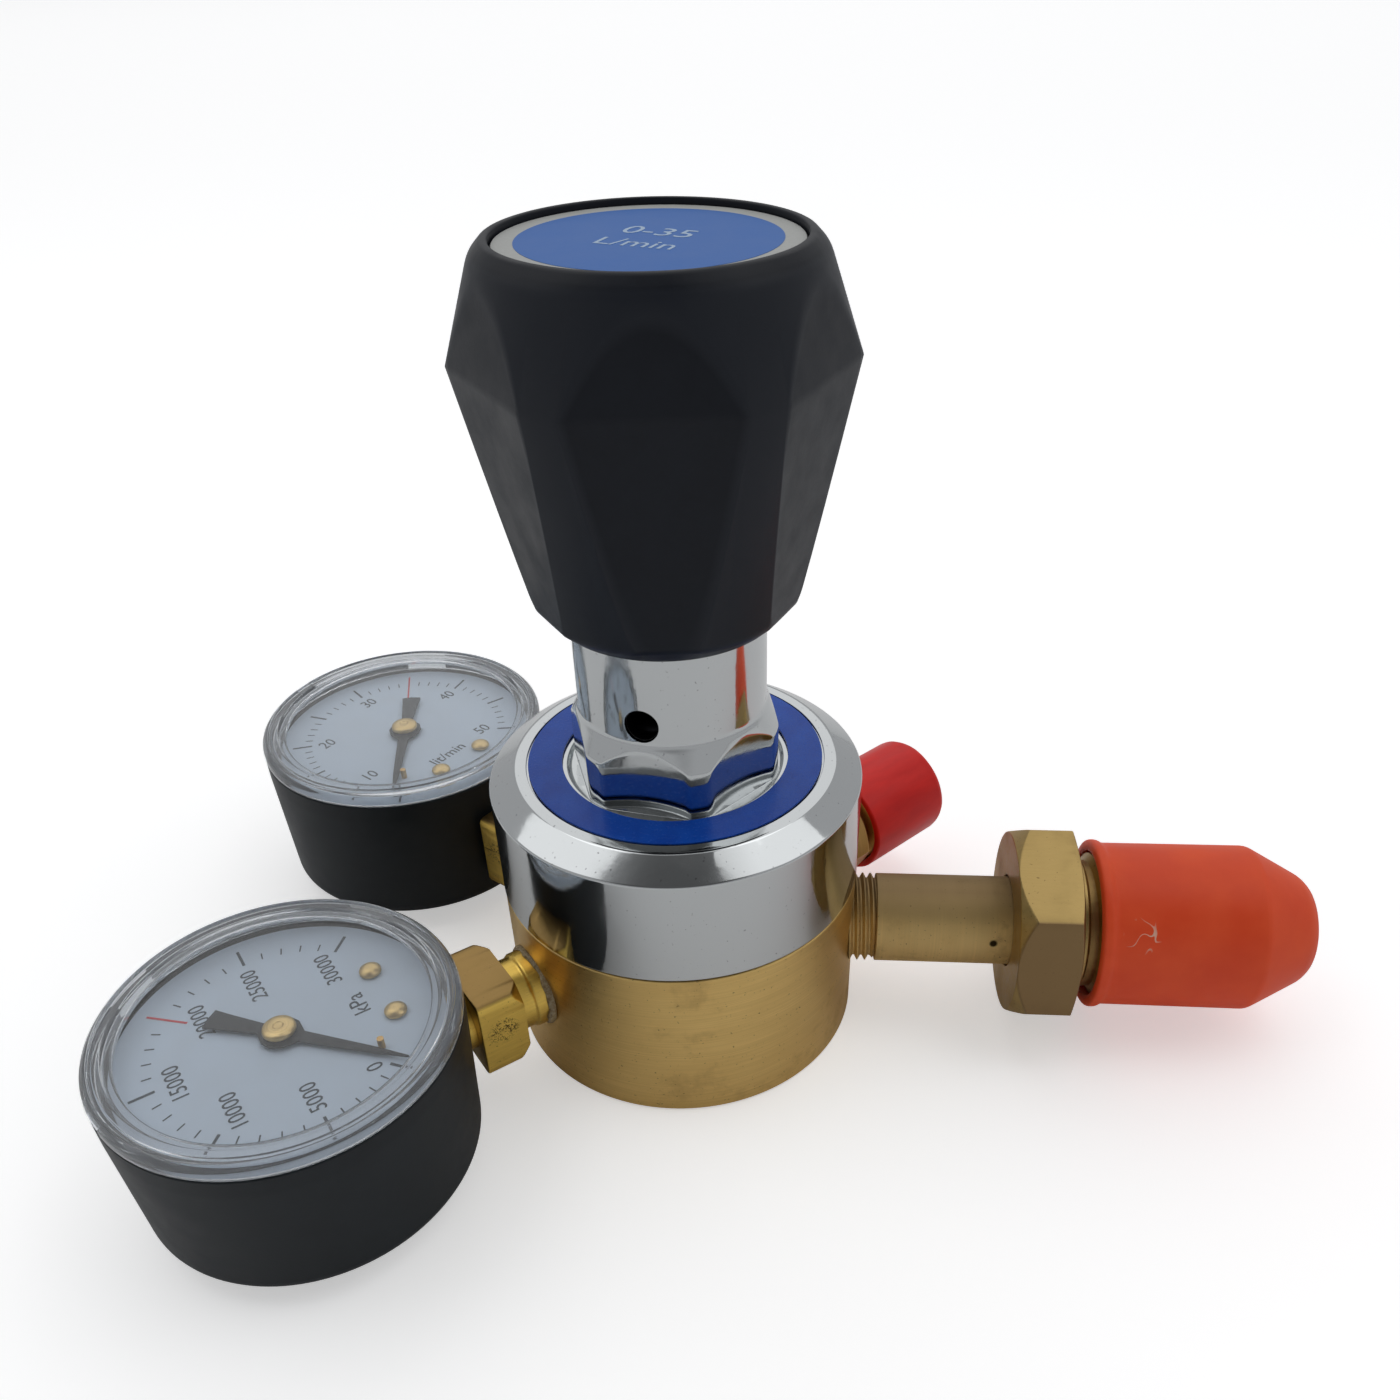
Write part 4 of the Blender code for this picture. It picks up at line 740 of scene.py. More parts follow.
# Inlet cap: a soft orange vinyl cap dipped over a pin, with a rolled lip and a tapered nose.
# It is pushed over the nut's thread to keep dirt out.
CAP_LEFT, CAP_TAPER, CAP_RIGHT = 65.4, 90.4, 100.2
CAP_R, CAP_INNER_R, CAP_WALL = 13.15, 11.75, 1.6
vinyl = Finish(
    "orange_vinyl", (0.88, 0.092, 0.024), 0.0, 0.52, Subsurface_Weight=0.12,
    Subsurface_Radius=(0.004, 0.0012, 0.0006), Subsurface_Scale=0.4, Specular_IOR_Level=0.25,
)
vinyl_cloud = vinyl.grain(8.0, 4.0)
vinyl_chalk = vinyl.grain(1.9, 6.0, 0.7, 1.5, spot=vinyl.place(1, 1, 2.4))
vinyl_colour = vinyl.clouded(vinyl_cloud, (0.84, 0.078, 0.020), (0.92, 0.106, 0.030))
vinyl_colour = vinyl.blend(vinyl.span(vinyl_chalk, 0.72, 0.82, 0.0, 0.55), vinyl_colour, (0.80, 0.36, 0.24))
vinyl_strokes = vinyl.grain(3.2, 0.0, 0.5, 0.6, spot=vinyl.place(1, 1, 1.2))
vinyl_strokes = vinyl.add("Math", {0: vinyl_strokes, 1: 0.5, 2: 0.022}, operation="COMPARE")
vinyl_scrape = vinyl.times(vinyl.near((7.2, 11.0, 71.4), 3.0), vinyl_strokes)
vinyl_colour = vinyl.blend(vinyl_scrape, vinyl_colour, (0.85, 0.50, 0.38))
orange_vinyl = vinyl.done(
    Base_Color=vinyl_colour, Roughness=vinyl.span(vinyl_cloud, 0.3, 0.7, 0.40, 0.55),
    Normal=vinyl.relief(vinyl.grain(6.0, 3.0), 0.12),
)
cap_section = [
    (CAP_INNER_R, CAP_LEFT + 0.2, 0.4), (12.4, CAP_LEFT, 0.5), (CAP_R + 0.4, CAP_LEFT + 0.3, 0.6),
    (CAP_R + 0.4, CAP_LEFT + 1.5, 0.6), (CAP_R - 0.1, CAP_LEFT + 2.3, 0.8), (CAP_R, CAP_TAPER, 0.6),
    (8.6, CAP_RIGHT - 1.5, 1.4), (6.9, CAP_RIGHT, 1.4), (0, CAP_RIGHT), (0, CAP_RIGHT - CAP_WALL),
    (6.1, CAP_RIGHT - CAP_WALL), (CAP_INNER_R, CAP_TAPER - 0.6),
]
made(
    "inlet_cap_vinyl", [turned(cap_section, 96, cuts=5)], orange_vinyl, "inlet_cap", ["inlet_cap"],
    at=inlet_way, crease=60,
)


# Outlet fitting: a brass hexagon screwed in the body, with the hose thread beyond it.
# Most of it is under the red cap.
OUT_HEX_R, OUT_HEX_START, OUT_HEX_END, OUT_END = 8.0, BODY_R + 0.6, 36.0, 51.0
OUT_THREAD_R, OUT_ROOT_R, OUT_BORE_R, OUT_SHANK_R = 7.6, 6.7, 2.0, 6.1
OUT_THREAD = (37.2, 50.4)
outlet_way = outward(OUTLET_AZ, PORT_Z)


def outlet_section(angle):
    wide = min(across_flats(angle, OUT_HEX_R), OUT_HEX_R / math.cos(math.pi / 6) - 0.08)
    ease = 0.9 * (wide - OUT_HEX_R) / 1.24
    return [
        (OUT_ROOT_R, OUT_THREAD[1]), (OUT_ROOT_R, OUT_END, 0.3), (4.6, OUT_END), (OUT_BORE_R, OUT_END - 4.5),
        (OUT_BORE_R, SHANK_START), (OUT_SHANK_R, SHANK_START), (OUT_SHANK_R, OUT_HEX_START),
        (7.9, OUT_HEX_START), (wide, OUT_HEX_START + ease, 0.15), (wide, OUT_HEX_END - ease, 0.15),
        (7.9, OUT_HEX_END), (OUT_ROOT_R, OUT_HEX_END), (OUT_ROOT_R, OUT_THREAD[0]),
    ]


made(
    "outlet_fitting_turned",
    [threaded(*OUT_THREAD, OUT_ROOT_R, OUT_THREAD_R, 1.34, 72), turned(outlet_section, 72, closed=False)],
    brass("outlet_brass", lines=4.0), "regulator", ["outlet_fitting"], at=outlet_way, crease=30,
)


# Outlet cap: glossy red dipped vinyl, pushed over the hose thread.
# Its wall is thin and slightly creased along its length.
OUT_CAP_LEFT, OUT_CAP_END = 37.6, 55.6
OUT_CAP_R, OUT_CAP_INNER_R = 9.2, 7.9


def outlet_cap_section(angle):
    crease = 0.05 * math.sin(5 * angle + 0.6) + 0.04 * math.sin(9 * angle)
    return [
        (OUT_CAP_INNER_R, OUT_CAP_LEFT, 0.3), (OUT_CAP_R - 0.1 + crease, OUT_CAP_LEFT, 0.4),
        (OUT_CAP_R - 0.15 + crease / 2, OUT_CAP_END - 0.15, 1.3), (OUT_CAP_R - 3.0, OUT_CAP_END, 0.8),
        (OUT_CAP_R - 5.0, OUT_CAP_END - 0.2, 0.8), (0, OUT_CAP_END - 0.2), (0, OUT_CAP_END - 1.5),
        (7.0, OUT_CAP_END - 1.5), (OUT_CAP_INNER_R, OUT_CAP_END - 2.4),
    ]


gloss = Finish(
    "red_vinyl", (0.66, 0.014, 0.010), 0.0, 0.34, Subsurface_Weight=0.08,
    Subsurface_Radius=(0.003, 0.0006, 0.0004), Subsurface_Scale=0.4, Specular_IOR_Level=0.28,
)
gloss_cloud = gloss.grain(2.5, 3.0, spot=gloss.place(1, 1, 0.3))
red_vinyl = gloss.done(
    Base_Color=gloss.clouded(gloss_cloud, (0.70, 0.011, 0.008), (0.82, 0.018, 0.012)),
    Roughness=gloss.span(gloss_cloud, 0.3, 0.7, 0.28, 0.40), Normal=gloss.relief(gloss_cloud, 0.05),
)
made(
    "outlet_cap_vinyl", [turned(outlet_cap_section, 96, cuts=4)], red_vinyl, "outlet_cap", ["outlet_cap"],
    at=outlet_way, crease=60,
)


# Gauge cases: shallow cups moulded in black plastic, a little narrower at the bottom, with a rounded edge.
# The brass socket passes through the wall; two slots, two tongues and a key in the rim hold the clear cover.
GAUGE_DISTANCE = 65.1
CASE_R, CASE_BOTTOM, CASE_TOP = 25.0, 3.2, 28.5
CASE_FLOOR = CASE_BOTTOM + 1.4
RIM_SLOTS, RIM_TONGUES, RIM_KEY = (38.0, 128.0), (216.0, 305.0), 188.0


def gauge_place(azimuth):
    """Local X points from the gauge's axis to the body, which is six o'clock on its dial."""
    angle = math.radians(azimuth)
    middle = (GAUGE_DISTANCE * MM * math.cos(angle), GAUGE_DISTANCE * MM * math.sin(angle), 0)
    return Matrix.Translation(middle) @ Matrix.Rotation(angle + math.pi, 4, "Z")


def sector_block(r0, r1, z0, z1, middle, width, steps=6):
    """A curved block between two radii, centred on an angle in degrees."""
    points, faces = [], []
    for k in range(steps + 1):
        a = math.radians(middle - width / 2 + width * k / steps)
        points += [(r * math.cos(a), r * math.sin(a), z) for r, z in ((r0, z0), (r1, z0), (r1, z1), (r0, z1))]
    for k in range(steps):
        for j in range(4):
            n = (j + 1) % 4
            faces.append((4 * k + j, 4 * k + 4 + j, 4 * k + 4 + n, 4 * k + n))
    return points, faces + [(0, 1, 2, 3), (4 * steps + 3, 4 * steps + 2, 4 * steps + 1, 4 * steps)]


GAUGES = [
    (prefix, azimuth, gauge_place(azimuth))
    for prefix, azimuth in (("supply_", SUPPLY_AZ), ("flow_", FLOW_AZ))
]
shell = Finish("case_plastic", (0.015, 0.018, 0.021), 0.0, 0.45, Specular_IOR_Level=0.22)
shell_cloud = shell.grain(7.0, 5.0, 0.6)
shell_dust = shell.grain(1.1, 6.0, 0.75)
shell_colour = shell.clouded(shell_cloud, (0.013, 0.016, 0.019), (0.020, 0.024, 0.028))
shell_colour = shell.blend(shell.span(shell_dust, 0.66, 0.80, 0.0, 0.25), shell_colour, (0.045, 0.045, 0.043))
case_black = shell.done(
    Base_Color=shell_colour, Roughness=shell.span(shell_cloud, 0.3, 0.75, 0.38, 0.52),
    Normal=shell.relief(shell.grain(0.3, 2.0), 0.008),
)

case_section = [
    (0, CASE_BOTTOM + 0.4), (7.5, CASE_BOTTOM + 0.4), (8.0, CASE_BOTTOM), (CASE_R - 2.4, CASE_BOTTOM, 1.2),
    (CASE_R - 0.85, CASE_BOTTOM + 1.6, 1.6), (CASE_R - 0.05, CASE_TOP - 3.0, 0.5),
    (CASE_R - 0.05, CASE_TOP, 0.25), (CASE_R - 0.7, CASE_TOP, 0.1), (CASE_R - 0.7, CASE_TOP - 3.6),
    (CASE_R - 1.7, CASE_TOP - 3.6), (CASE_R - 1.9, CASE_FLOOR), (0, CASE_FLOOR),
]
rim_parts = [
    sector_block(CASE_R - 2.5, CASE_R - inset, CASE_TOP - low, CASE_TOP + high, angle, 17)
    for inset, low, high in ((2.0, 1.6, 0.7), (1.5, 5.4, -1.6)) for angle in RIM_TONGUES
]
rim_parts.append(sector_block(CASE_R - 0.65, CASE_R - 0.06, CASE_TOP - 0.2, CASE_TOP + 1.1, RIM_KEY, 5))
rim_slots = [
    sector_block(CASE_R - 1.6, CASE_R + 1.0, CASE_TOP - 2.4, CASE_TOP + 1.0, angle, 18) for angle in RIM_SLOTS
]
case_wall = GAUGE_DISTANCE - CASE_R
for prefix, azimuth, there in GAUGES:
    wall_hole = turned(rod_section(5.3, case_wall - 3, case_wall + 4), 48, edge=0)
    made(
        prefix + "case_cup", [turned(case_section, 144, cuts=4)] + rim_parts, case_black, "regulator",
        [prefix + "case"], at=there, crease=50,
        holes=[(wall_hole, outward(azimuth, PORT_Z))] + [(slot, there) for slot in rim_slots],
    )


# Covers: clear acrylic caps that snap over the rim, with a raised outer ring, a flat pane and an inner skirt.
# A notch in the ring takes the key on the case.
COVER_TOP, PANE_TOP, PANE_BOTTOM = 31.2, 30.6, 29.4
PANE_R = CASE_R - 4.2
clear = Finish("clear_acrylic", (0.95, 0.97, 0.98), 0.0, 0.03, Transmission_Weight=1.0, IOR=1.45)
clear_scuffs = clear.grain(2.5, 6.0, 0.75)
clear_acrylic = clear.done(Roughness=clear.span(clear_scuffs, 0.5, 0.8, 0.02, 0.14))
# The pane lets light through to the dial in place of casting a shadow on it
lets_light = clear.add("BsdfTransparent", {"Color": (0.93, 0.95, 0.96, 1)})
is_shadow = clear.add("LightPath", {}, out="Is Shadow Ray")
cover_mix = clear.add("MixShader", {0: is_shadow, 1: clear.shader.outputs[0], 2: lets_light})
clear.feed(clear.nodes["Material Output"], "Surface", cover_mix)

milky = Finish("cover_ring_acrylic", (0.90, 0.93, 0.96), 0.0, 0.06, Transmission_Weight=0.88, IOR=1.45)
milky_haze = milky.grain(1.6, 5.0, 0.7)
ring_acrylic = milky.done(Roughness=milky.span(milky_haze, 0.35, 0.75, 0.02, 0.09))
ring_section = [
    (PANE_R, PANE_TOP, 0.2), (PANE_R + 0.25, PANE_TOP + 0.15, 0.1), (CASE_R - 3.2, PANE_TOP + 0.15, 0.15),
    (CASE_R - 2.8, COVER_TOP, 0.2), (CASE_R - 1.85, COVER_TOP, 0.1), (CASE_R - 1.7, COVER_TOP - 0.3, 0.1),
    (CASE_R - 1.3, COVER_TOP - 0.3, 0.1), (CASE_R - 1.15, COVER_TOP - 0.05, 0.1),
    (CASE_R - 0.8, COVER_TOP - 0.05, 0.4), (CASE_R - 0.05, COVER_TOP - 0.8, 0.5),
    (CASE_R - 0.05, CASE_TOP + 0.25, 0.1), (CASE_R - 1.0, CASE_TOP + 0.25, 0.1),
    (CASE_R - 1.0, CASE_TOP - 1.6, 0.2), (CASE_R - 1.9, CASE_TOP - 1.6, 0.2),
    (CASE_R - 1.9, PANE_BOTTOM, 0.3), (PANE_R, PANE_BOTTOM),
]
key_notch = sector_block(CASE_R - 0.9, CASE_R + 1.0, CASE_TOP - 0.5, CASE_TOP + 1.5, RIM_KEY, 8)
for prefix, _, there in GAUGES:
    made(
        prefix + "cover_ring", [turned(ring_section, 144)], ring_acrylic, "regulator", [prefix + "window"],
        at=there, crease=50, holes=[(key_notch, there)],
    )
    made(
        prefix + "cover_pane", [turned(rod_section(PANE_R, PANE_TOP, PANE_BOTTOM), 144, edge=0)],
        clear_acrylic, "regulator", at=there, crease=50,
    )


# Dials: white lacquered discs held by two screws, printed with a scale, its figures and the unit.
# One reads bottle pressure in kPa up to 30000, the other the flow in litres a minute up to 50.
DIAL_BOTTOM, DIAL_TOP = 26.2, 26.7
DIAL_R, DIAL_HOLE_R = 22.4, 1.7
FACE_Z = DIAL_TOP + 0.02
INK_Z = FACE_Z + PRINT_THICK / 2
TICK_IN, TICK_OUT_LONG, TICK_OUT_SHORT = 16.9, 20.3, 18.2
SUPPLY_LIMIT, FLOW_LIMIT = 20000, 35
SUPPLY_FIGURES = (
    ("0", -12.6, -8.6), ("5000", -12.9, 0.0), ("10000", -9.2, 9.2), ("15000", -0.2, 14.2),
    ("20000", 9.2, 8.2), ("25000", 12.0, 0.0), ("30000", 9.0, -9.9),
)
SCREW_SPOTS = ((14.7, 4.8), (14.7, -4.8))


def from_twelve(degrees, radius):
    """A point on the dial, clockwise from twelve o'clock, which is away from the body."""
    angle = math.pi - math.radians(degrees)
    return radius * math.cos(angle), radius * math.sin(angle)


def supply_angle(pressure):
    """The first step of the printed scale is closer than the rest."""
    return -128.0 + pressure / 5000.0 * 38.0 if pressure < 5000 else -90.0 + (pressure - 5000) / 5000.0 * 45.0


def flow_angle(flow):
    """Nothing is marked below ten; above it the scale opens up a little."""
    return -135.0 + 2.3 * flow if flow < 10 else -112.0 + 6.13 * (flow - 10) + 0.004 * (flow - 10) ** 2


def stroke(degrees, r0, r1, width):
    """One printed line of a scale, a thin bar pointing at the dial's middle."""
    ax, ay = from_twelve(degrees, 1.0)
    sx, sy = -ay * width / 2, ax * width / 2
    flat = [(ax * r + sx * s, ay * r + sy * s) for r, s in ((r0, -1), (r1, -1), (r1, 1), (r0, 1))]
    points = [(x, y, FACE_Z) for x, y in flat] + [(x, y, FACE_Z + PRINT_THICK) for x, y in flat]
    return points, [(3, 2, 1, 0), (4, 5, 6, 7), (0, 1, 5, 4), (1, 2, 6, 5), (2, 3, 7, 6), (3, 0, 4, 7)]


def strokes(values, angle_of, bold_each, bold, fine, limit):
    """The black lines of a scale; the limit's place is left for its red mark."""
    return [
        stroke(angle_of(v), TICK_IN, *((TICK_OUT_SHORT, fine) if v % bold_each else (TICK_OUT_LONG, bold)))
        for v in values if v != limit
    ]


def dial_rows(prefix):
    """The black print and the red limit mark of one dial."""
    if prefix == "supply_":
        black = strokes(range(0, 30001, 1000), supply_angle, 5000, 0.42, 0.2, SUPPLY_LIMIT)
        black += [lettering(text, 2.25, -y, x, INK_Z, math.pi / 2, 0.86) for text, x, y in SUPPLY_FIGURES]
        black.append(lettering("kPa", 2.4, 11.0, -0.2, INK_Z, math.pi / 2, 0.9))
        return black, [stroke(supply_angle(SUPPLY_LIMIT), 14.2, 20.4, 0.35)]
    black = strokes([0, *range(10, 51)], flow_angle, 5, 0.36, 0.17, FLOW_LIMIT)
    for v in range(10, 51, 10):
        black.append(lettering(str(v), 2.4, *from_twelve(flow_angle(v), 14.1), INK_Z, math.pi / 2))
    black.append(lettering("lit/min", 2.2, 11.6, -0.3, INK_Z, math.pi / 2, 0.95))
    return black, [stroke(flow_angle(FLOW_LIMIT), 12.5, 20.4, 0.3)]


dial_white = film("dial_white", (0.53, 0.60, 0.70), 0.34, dusty=0.12)
dial_ink = ink("dial_ink", (0.045, 0.055, 0.070))
dial_red = ink("dial_red", (0.60, 0.05, 0.06))
dial_section = [
    (DIAL_HOLE_R, DIAL_BOTTOM), (DIAL_R, DIAL_BOTTOM), (DIAL_R, DIAL_TOP), (DIAL_HOLE_R, DIAL_TOP),
]
for prefix, _, there in GAUGES:
    screw_hole = turned(rod_section(1.1, DIAL_TOP - 3, DIAL_TOP + 3), 24, edge=0)
    made(
        prefix + "dial_plate", [turned(dial_section, 144, edge=0.1)], dial_white, "regulator",
        [prefix + "dial"], at=there,
        holes=[(screw_hole, there @ Matrix.Translation((x * MM, y * MM, 0))) for x, y in SCREW_SPOTS],
    )
    black_print, red_print = dial_rows(prefix)
    made(prefix + "dial_scale", black_print, dial_ink, "regulator", at=there)
    made(prefix + "dial_limit", red_print, dial_red, "regulator", at=there)


# Pointers: stamped and blackened, a long taper with a broad tail, pressed on the arbor under a brass boss.
# They turn with the pinion; a brass pin beside zero stops them.
POINTER_Z, POINTER_TIP, POINTER_TAIL = 27.3, 19.2, 11.0
POINTER_REST = math.radians(-48.0)


def pointer_blade():
    """The outline of the blade, raised to a low ridge along its middle."""
    rim = [
        (-POINTER_TAIL, 1.7), (-POINTER_TAIL + 2.6, 1.4), (-3.0, 0.95), (-2.5, 1.5), (-1.5, 2.5), (0, 2.9),
        (1.5, 2.5), (2.6, 1.5), (3.2, 0.95), (POINTER_TIP - 5.0, 0.52), (POINTER_TIP - 0.4, 0.14),
        (POINTER_TIP, 0.0),
    ]
    points, faces = [], []
    for x, half in rim:
        points += [
            (x, y, POINTER_Z + rise)
            for y, rise in ((-half, 0), (half, 0), (half, 0.28), (0, 0.43), (-half, 0.28))
        ]
    for k in range(len(rim) - 1):
        for j in range(5):
            n = (j + 1) % 5
            faces.append((5 * k + j, 5 * k + 5 + j, 5 * k + 5 + n, 5 * k + n))
    return points, faces + [(0, 1, 2, 3, 4)]


lacquer = Finish("pointer_lacquer", (0.02, 0.021, 0.024), 0.0, 0.5)
lacquer_wear = lacquer.grain(1.2, 4.0, 0.7)
worn = lacquer.span(lacquer_wear, 0.5, 0.8, 0.0, 0.6)
pointer_black = lacquer.done(
    Base_Color=lacquer.blend(worn, (0.018, 0.019, 0.022), (0.06, 0.062, 0.068)),
    Roughness=lacquer.span(lacquer_wear, 0.3, 0.7, 0.4, 0.6),
)
boss_brass = brass("boss_brass", bright=(0.80, 0.58, 0.26), deep=(0.55, 0.38, 0.16), lines=6.0, stains=0.3)
boss_section = [
    (0, 28.0), (2.3, 28.0, 0.1), (2.3, 28.6, 0.35), (1.6, 28.9, 0.4), (0.75, 28.95), (0.6, 28.8), (0, 28.8),
]
screw_section = [
    (0, 16.0), (0.8, 16.0), (0.8, 26.95), (1.6, 26.95, 0.1), (1.6, 27.35, 0.25), (0.9, 27.85, 0.4), (0, 27.9),
]
for prefix, _, there in GAUGES:
    made(
        prefix + "pointer_blade", [pointer_blade()], pointer_black, prefix + "pointer", [prefix + "pointer"],
        at=there @ Matrix.Rotation(POINTER_REST, 4, "Z"), crease=20,
    )
    made(
        prefix + "pointer_boss", [turned(boss_section, 48)], boss_brass, prefix + "pointer",
        [prefix + "pointer_hub"], at=there,
    )
    for side, (x, y) in zip(("right", "left"), SCREW_SPOTS):
        screw = prefix + "dial_screw_" + side
        made(
            screw + "_head", [turned(screw_section, 32)], boss_brass, "regulator", [screw],
            at=there @ Matrix.Translation((x * MM, y * MM, 0)),
        )


# Gauge sockets: square brass bar turned at both ends, screwed in the body and sealed with thread paste.
# Turning chamfers their corners, and their faces are left as drawn; a block inside carries the movement.
GAUGE_SHANK_R, SOCKET_START = 6.1, 32.5
SOCKET_HALF, SOCKET_CORNER_R, SOCKET_FACE_R, SOCKET_NECK_R = 7.0, 9.5, 8.2, 5.0
BLOCK_NEAR, BLOCK_FAR, BLOCK_HALF = GAUGE_DISTANCE - 21.9, GAUGE_DISTANCE - 10.6, 6.5
BLOCK_LOW, BLOCK_HIGH = -4.5, 4.6


def socket_section(angle):
    bar = across_flats(angle, SOCKET_HALF, 0.0, 4)
    wide = min(bar, SOCKET_CORNER_R)
    ease = 1.5 * max(0.0, wide - SOCKET_FACE_R) / (SOCKET_CORNER_R - SOCKET_FACE_R)
    wall = GAUGE_DISTANCE - CASE_R - 0.35
    return [
        (0, GAUGE_SEAT + 0.3), (GAUGE_SHANK_R - 0.5, GAUGE_SEAT + 0.3), (GAUGE_SHANK_R, GAUGE_SEAT + 1.1),
        (GAUGE_SHANK_R, BODY_R + 1.9, 0.2), (GAUGE_SHANK_R - 0.4, BODY_R + 2.3, 0.2),
        (GAUGE_SHANK_R - 0.4, SOCKET_START, 0.3), (min(bar, SOCKET_FACE_R), SOCKET_START, 0.15),
        (wide, SOCKET_START + ease, 0.25), (wide, wall, 0.3), (SOCKET_NECK_R, wall, 0.1),
        (SOCKET_NECK_R, BLOCK_NEAR + 0.5), (0, BLOCK_NEAR + 0.5),
    ]


def block_section(angle):
    """The inner block's outline about the socket's axis: a rectangle with its edges broken."""
    rise, side = math.cos(angle), math.sin(angle)
    reach = BLOCK_HALF / max(abs(side), 1e-6)
    if abs(rise) > 1e-6:
        reach = min((BLOCK_HIGH if rise > 0 else BLOCK_LOW) / rise, reach)
    return [(0, BLOCK_NEAR), (reach, BLOCK_NEAR, 0.3), (reach, BLOCK_FAR, 0.3), (0, BLOCK_FAR)]


def paste_section(angle):
    """A bead of paste squeezed out unevenly where the thread enters the body."""
    lump = 0.16 * math.sin(3 * angle + 0.5) + 0.12 * math.sin(7 * angle + 2.0) + 0.08 * math.sin(13 * angle)
    return [
        (GAUGE_SHANK_R + 0.02, 27.2), (GAUGE_SHANK_R + 0.6, 27.4),
        (GAUGE_SHANK_R + 0.42 + lump, 28.25 + lump, 0.3), (GAUGE_SHANK_R + 0.02, 28.5 + lump, 0.2),
    ]


# The top flat of each socket is painted darker: painted shade.
socket_brass = brass(
    "socket_brass", bright=(0.90, 0.63, 0.14), deep=(0.72, 0.48, 0.11), stain_and_shade=(0.26, 0.16, 0.07),
    turning=False, lines=2.2, rough=(0.26, 0.42), stains=0.8, scratched=((1.0, -7.0, 36.3), 2.8),
    shaded_side=((1.0, 0.0, 0.0), SOCKET_HALF - 0.45, SOCKET_HALF - 0.1, 0.85),
)
paste = Finish(
    "thread_paste", (0.36, 0.29, 0.17), 0.0, 0.45, Subsurface_Weight=0.2,
    Subsurface_Radius=(0.001, 0.001, 0.001),
)
paste_grit = paste.grain(0.5, 4.0, 0.7)
paste_colour = paste.blend(paste.span(paste_grit, 0.35, 0.65), (0.20, 0.13, 0.05), (0.42, 0.35, 0.22))
thread_paste = paste.done(Base_Color=paste_colour, Normal=paste.relief(paste_grit, 0.15))
for prefix, azimuth, _ in GAUGES:
    along = outward(azimuth, PORT_Z)
    made(
        prefix + "socket_bar", [turned(socket_section, 96), turned(block_section, 96)], socket_brass,
        "regulator", [prefix + "socket"], at=along, crease=30,
    )
    made(
        prefix + "paste_bead", [turned(paste_section, 96, closed=True)], thread_paste, "regulator",
        at=along,
    )


# Inside pieces keep their turned and stamped shapes from the part itself.
# They get the bare finish of their metal: steel, light alloy, brass, bronze or rubber.
def bare_metal(name, colour, rough):
    metal = Finish(name, colour, 1.0, rough, part=True)
    marks = metal.grain(1.0, 4.0, 0.6, spot=metal.place(4.0, 4.0, 4.0))
    dark = tuple(0.6 * c for c in colour)
    return metal.done(
        Base_Color=metal.blend(metal.span(marks, 0.3, 0.7, 0.0, 0.8), colour, dark),
        Roughness=metal.span(marks, 0.3, 0.7, rough - 0.08, rough + 0.12),
    )


steel = bare_metal("steel", (0.55, 0.56, 0.57), 0.32)
# Painted shade: the screw, the button and the main spring inside the bonnet, seen through the bleed hole, are
# painted nearly black.
steel_in_painted_shade = bare_metal("steel_in_painted_shade", (0.035, 0.035, 0.04), 0.55)
alloy = bare_metal("alloy", (0.72, 0.73, 0.74), 0.38)
bronze = bare_metal("bronze", (0.52, 0.31, 0.14), 0.42)
movement_brass = brass("movement_brass", turning=False, lines=3.0, part=True)
sinter = Finish("sintered_bronze", (0.40, 0.24, 0.11), 0.8, 0.7, part=True)
sinter_balls = sinter.grain(0.35, 1.0)
sintered = sinter.done(
    Base_Color=sinter.blend(sinter.span(sinter_balls, 0.4, 0.6), (0.18, 0.10, 0.05), (0.55, 0.35, 0.17)),
    Normal=sinter.relief(sinter_balls, 0.2),
)
rubber = Finish("rubber", (0.02, 0.02, 0.02), 0.0, 0.75, part=True)
rubber_cloth = rubber.grain(0.5, 3.0)
diaphragm_rubber = rubber.done(
    Base_Color=rubber.blend(rubber_cloth, (0.015, 0.015, 0.015), (0.035, 0.034, 0.032)),
    Normal=rubber.relief(rubber_cloth, 0.05),
)
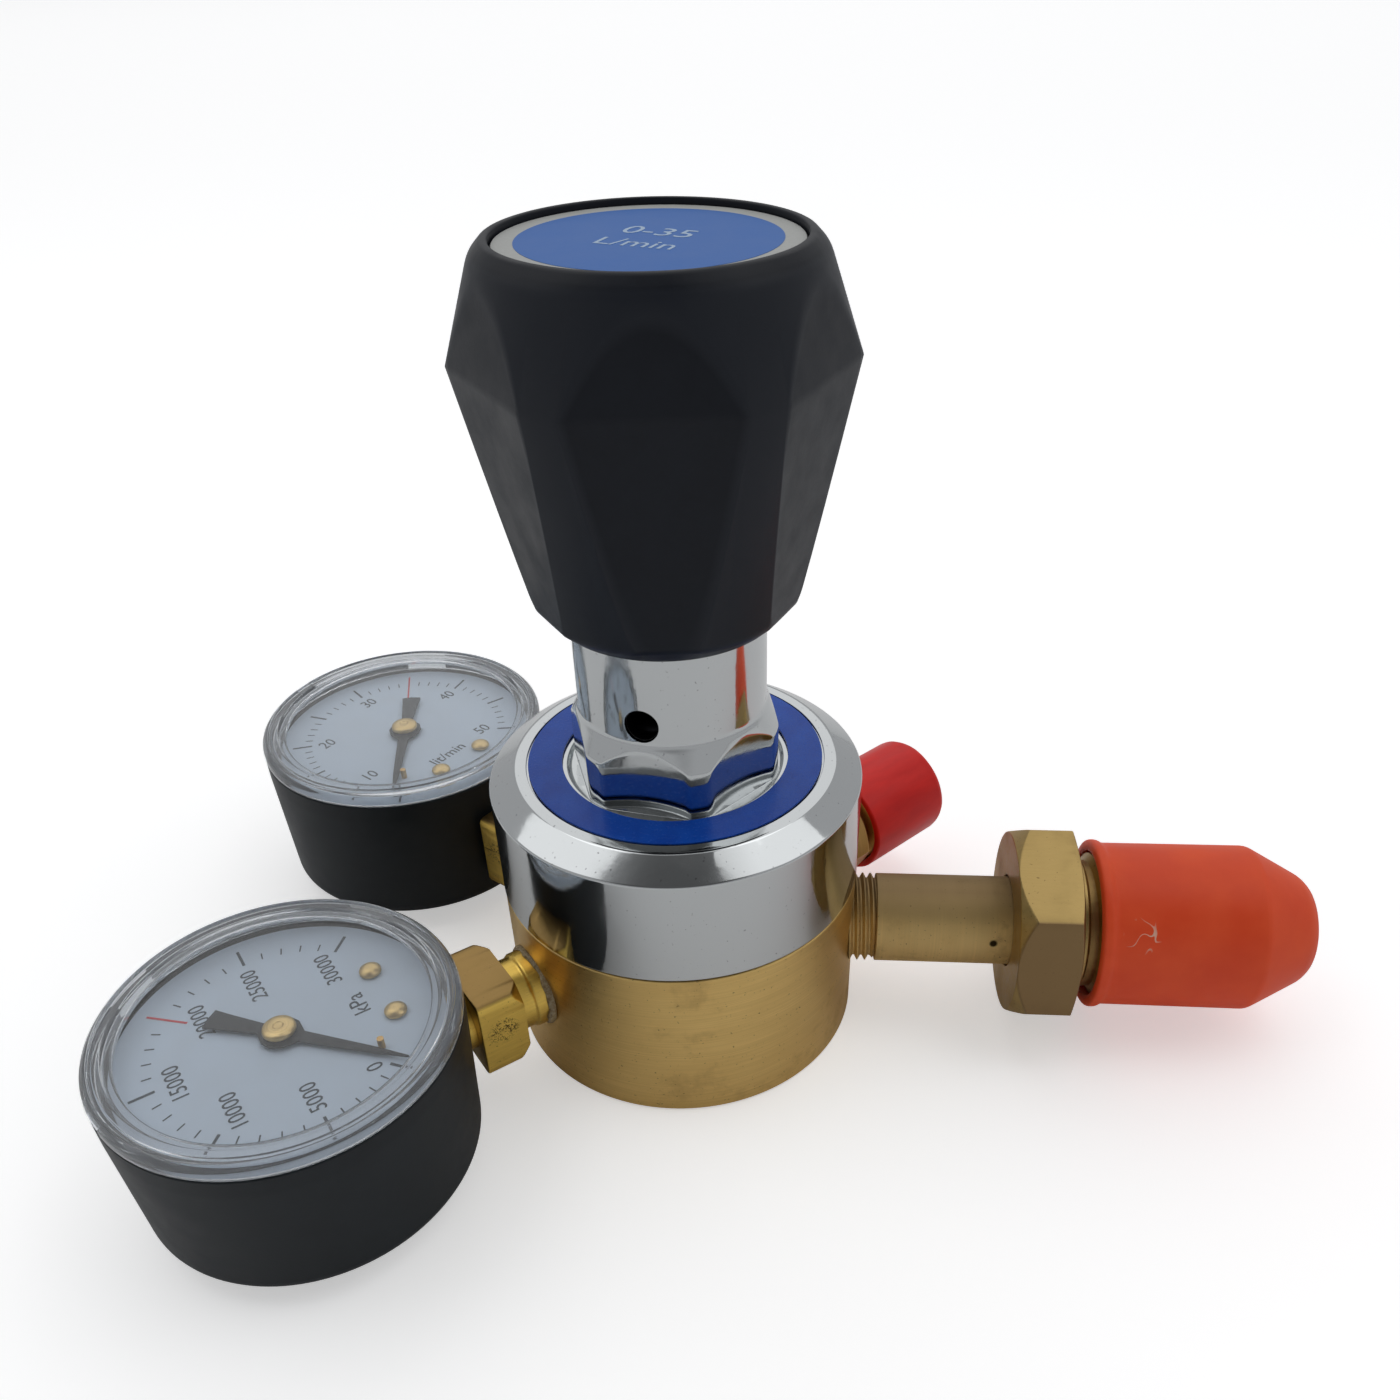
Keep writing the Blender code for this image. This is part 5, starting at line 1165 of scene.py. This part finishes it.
INSIDE = {
    diaphragm_rubber: ["diaphragm"], steel: ["slip_ring", "knob_screw"], alloy: ["diaphragm_plate"],
    steel_in_painted_shade: ["spring_button", "adjusting_screw"], sintered: ["inlet_filter"], bronze: [],
    movement_brass: ["diaphragm_washer", "seat_nozzle", "valve_poppet"],
}
MOVEMENT = ("pinion", "sector_gear", "movement_back", "movement_front", "link", "stop_pin")
for prefix, _, _ in GAUGES:
    INSIDE[bronze] += [prefix + "bourdon_tube", prefix + "hairspring"]
    INSIDE[movement_brass] += [prefix + name for name in MOVEMENT]
for material, names in INSIDE.items():
    for name in names:
        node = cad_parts[name]
        node.data.materials.clear()
        node.data.materials.append(material)


# Springs: wire wound in a coil with its end turns laid close, the large one painted nearly black as shade
# inside the bonnet, the small one bright.
# Each stands on a fixed seat.
def coil(radius, wire, low, high, turns, steps=36, sides=10):
    """Round wire wound upwards about the axis; the first and last turns climb by one wire only."""
    climb, close = high - low - 2 * wire, 2 * wire
    points, faces = [], []
    for k in range(turns * steps + 1):
        turn = k / steps
        if turn < 1:
            height = close * turn
        elif turn < turns - 1:
            height = close + (climb - 2 * close) * (turn - 1) / (turns - 2)
        else:
            height = climb - close * (turns - turn)
        angle = 2 * math.pi * turn
        for j in range(sides):
            round_wire = 2 * math.pi * j / sides
            r, z = radius + wire * math.cos(round_wire), low + wire + height + wire * math.sin(round_wire)
            points.append((r * math.cos(angle), r * math.sin(angle), z))
    for k in range(turns * steps):
        for j in range(sides):
            n = (j + 1) % sides
            faces.append((k * sides + j, (k + 1) * sides + j, (k + 1) * sides + n, k * sides + n))
    last = turns * steps * sides
    return points, faces + [tuple(range(sides)), tuple(reversed(range(last, last + sides)))]


for node, wire, turns, finish, joint in (
    ("main_spring", 1.3, 7, steel_in_painted_shade, "button_slide"), ("poppet_spring", 0.4, 4, steel, "valve_slide"),
):
    lowest, highest = (Vector(corner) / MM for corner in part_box(node))
    spring = made(
        node + "_wound", [coil(highest.x - wire, wire, lowest.z, highest.z, turns)], finish, "regulator",
        [node], crease=60,
    )
    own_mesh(spring)
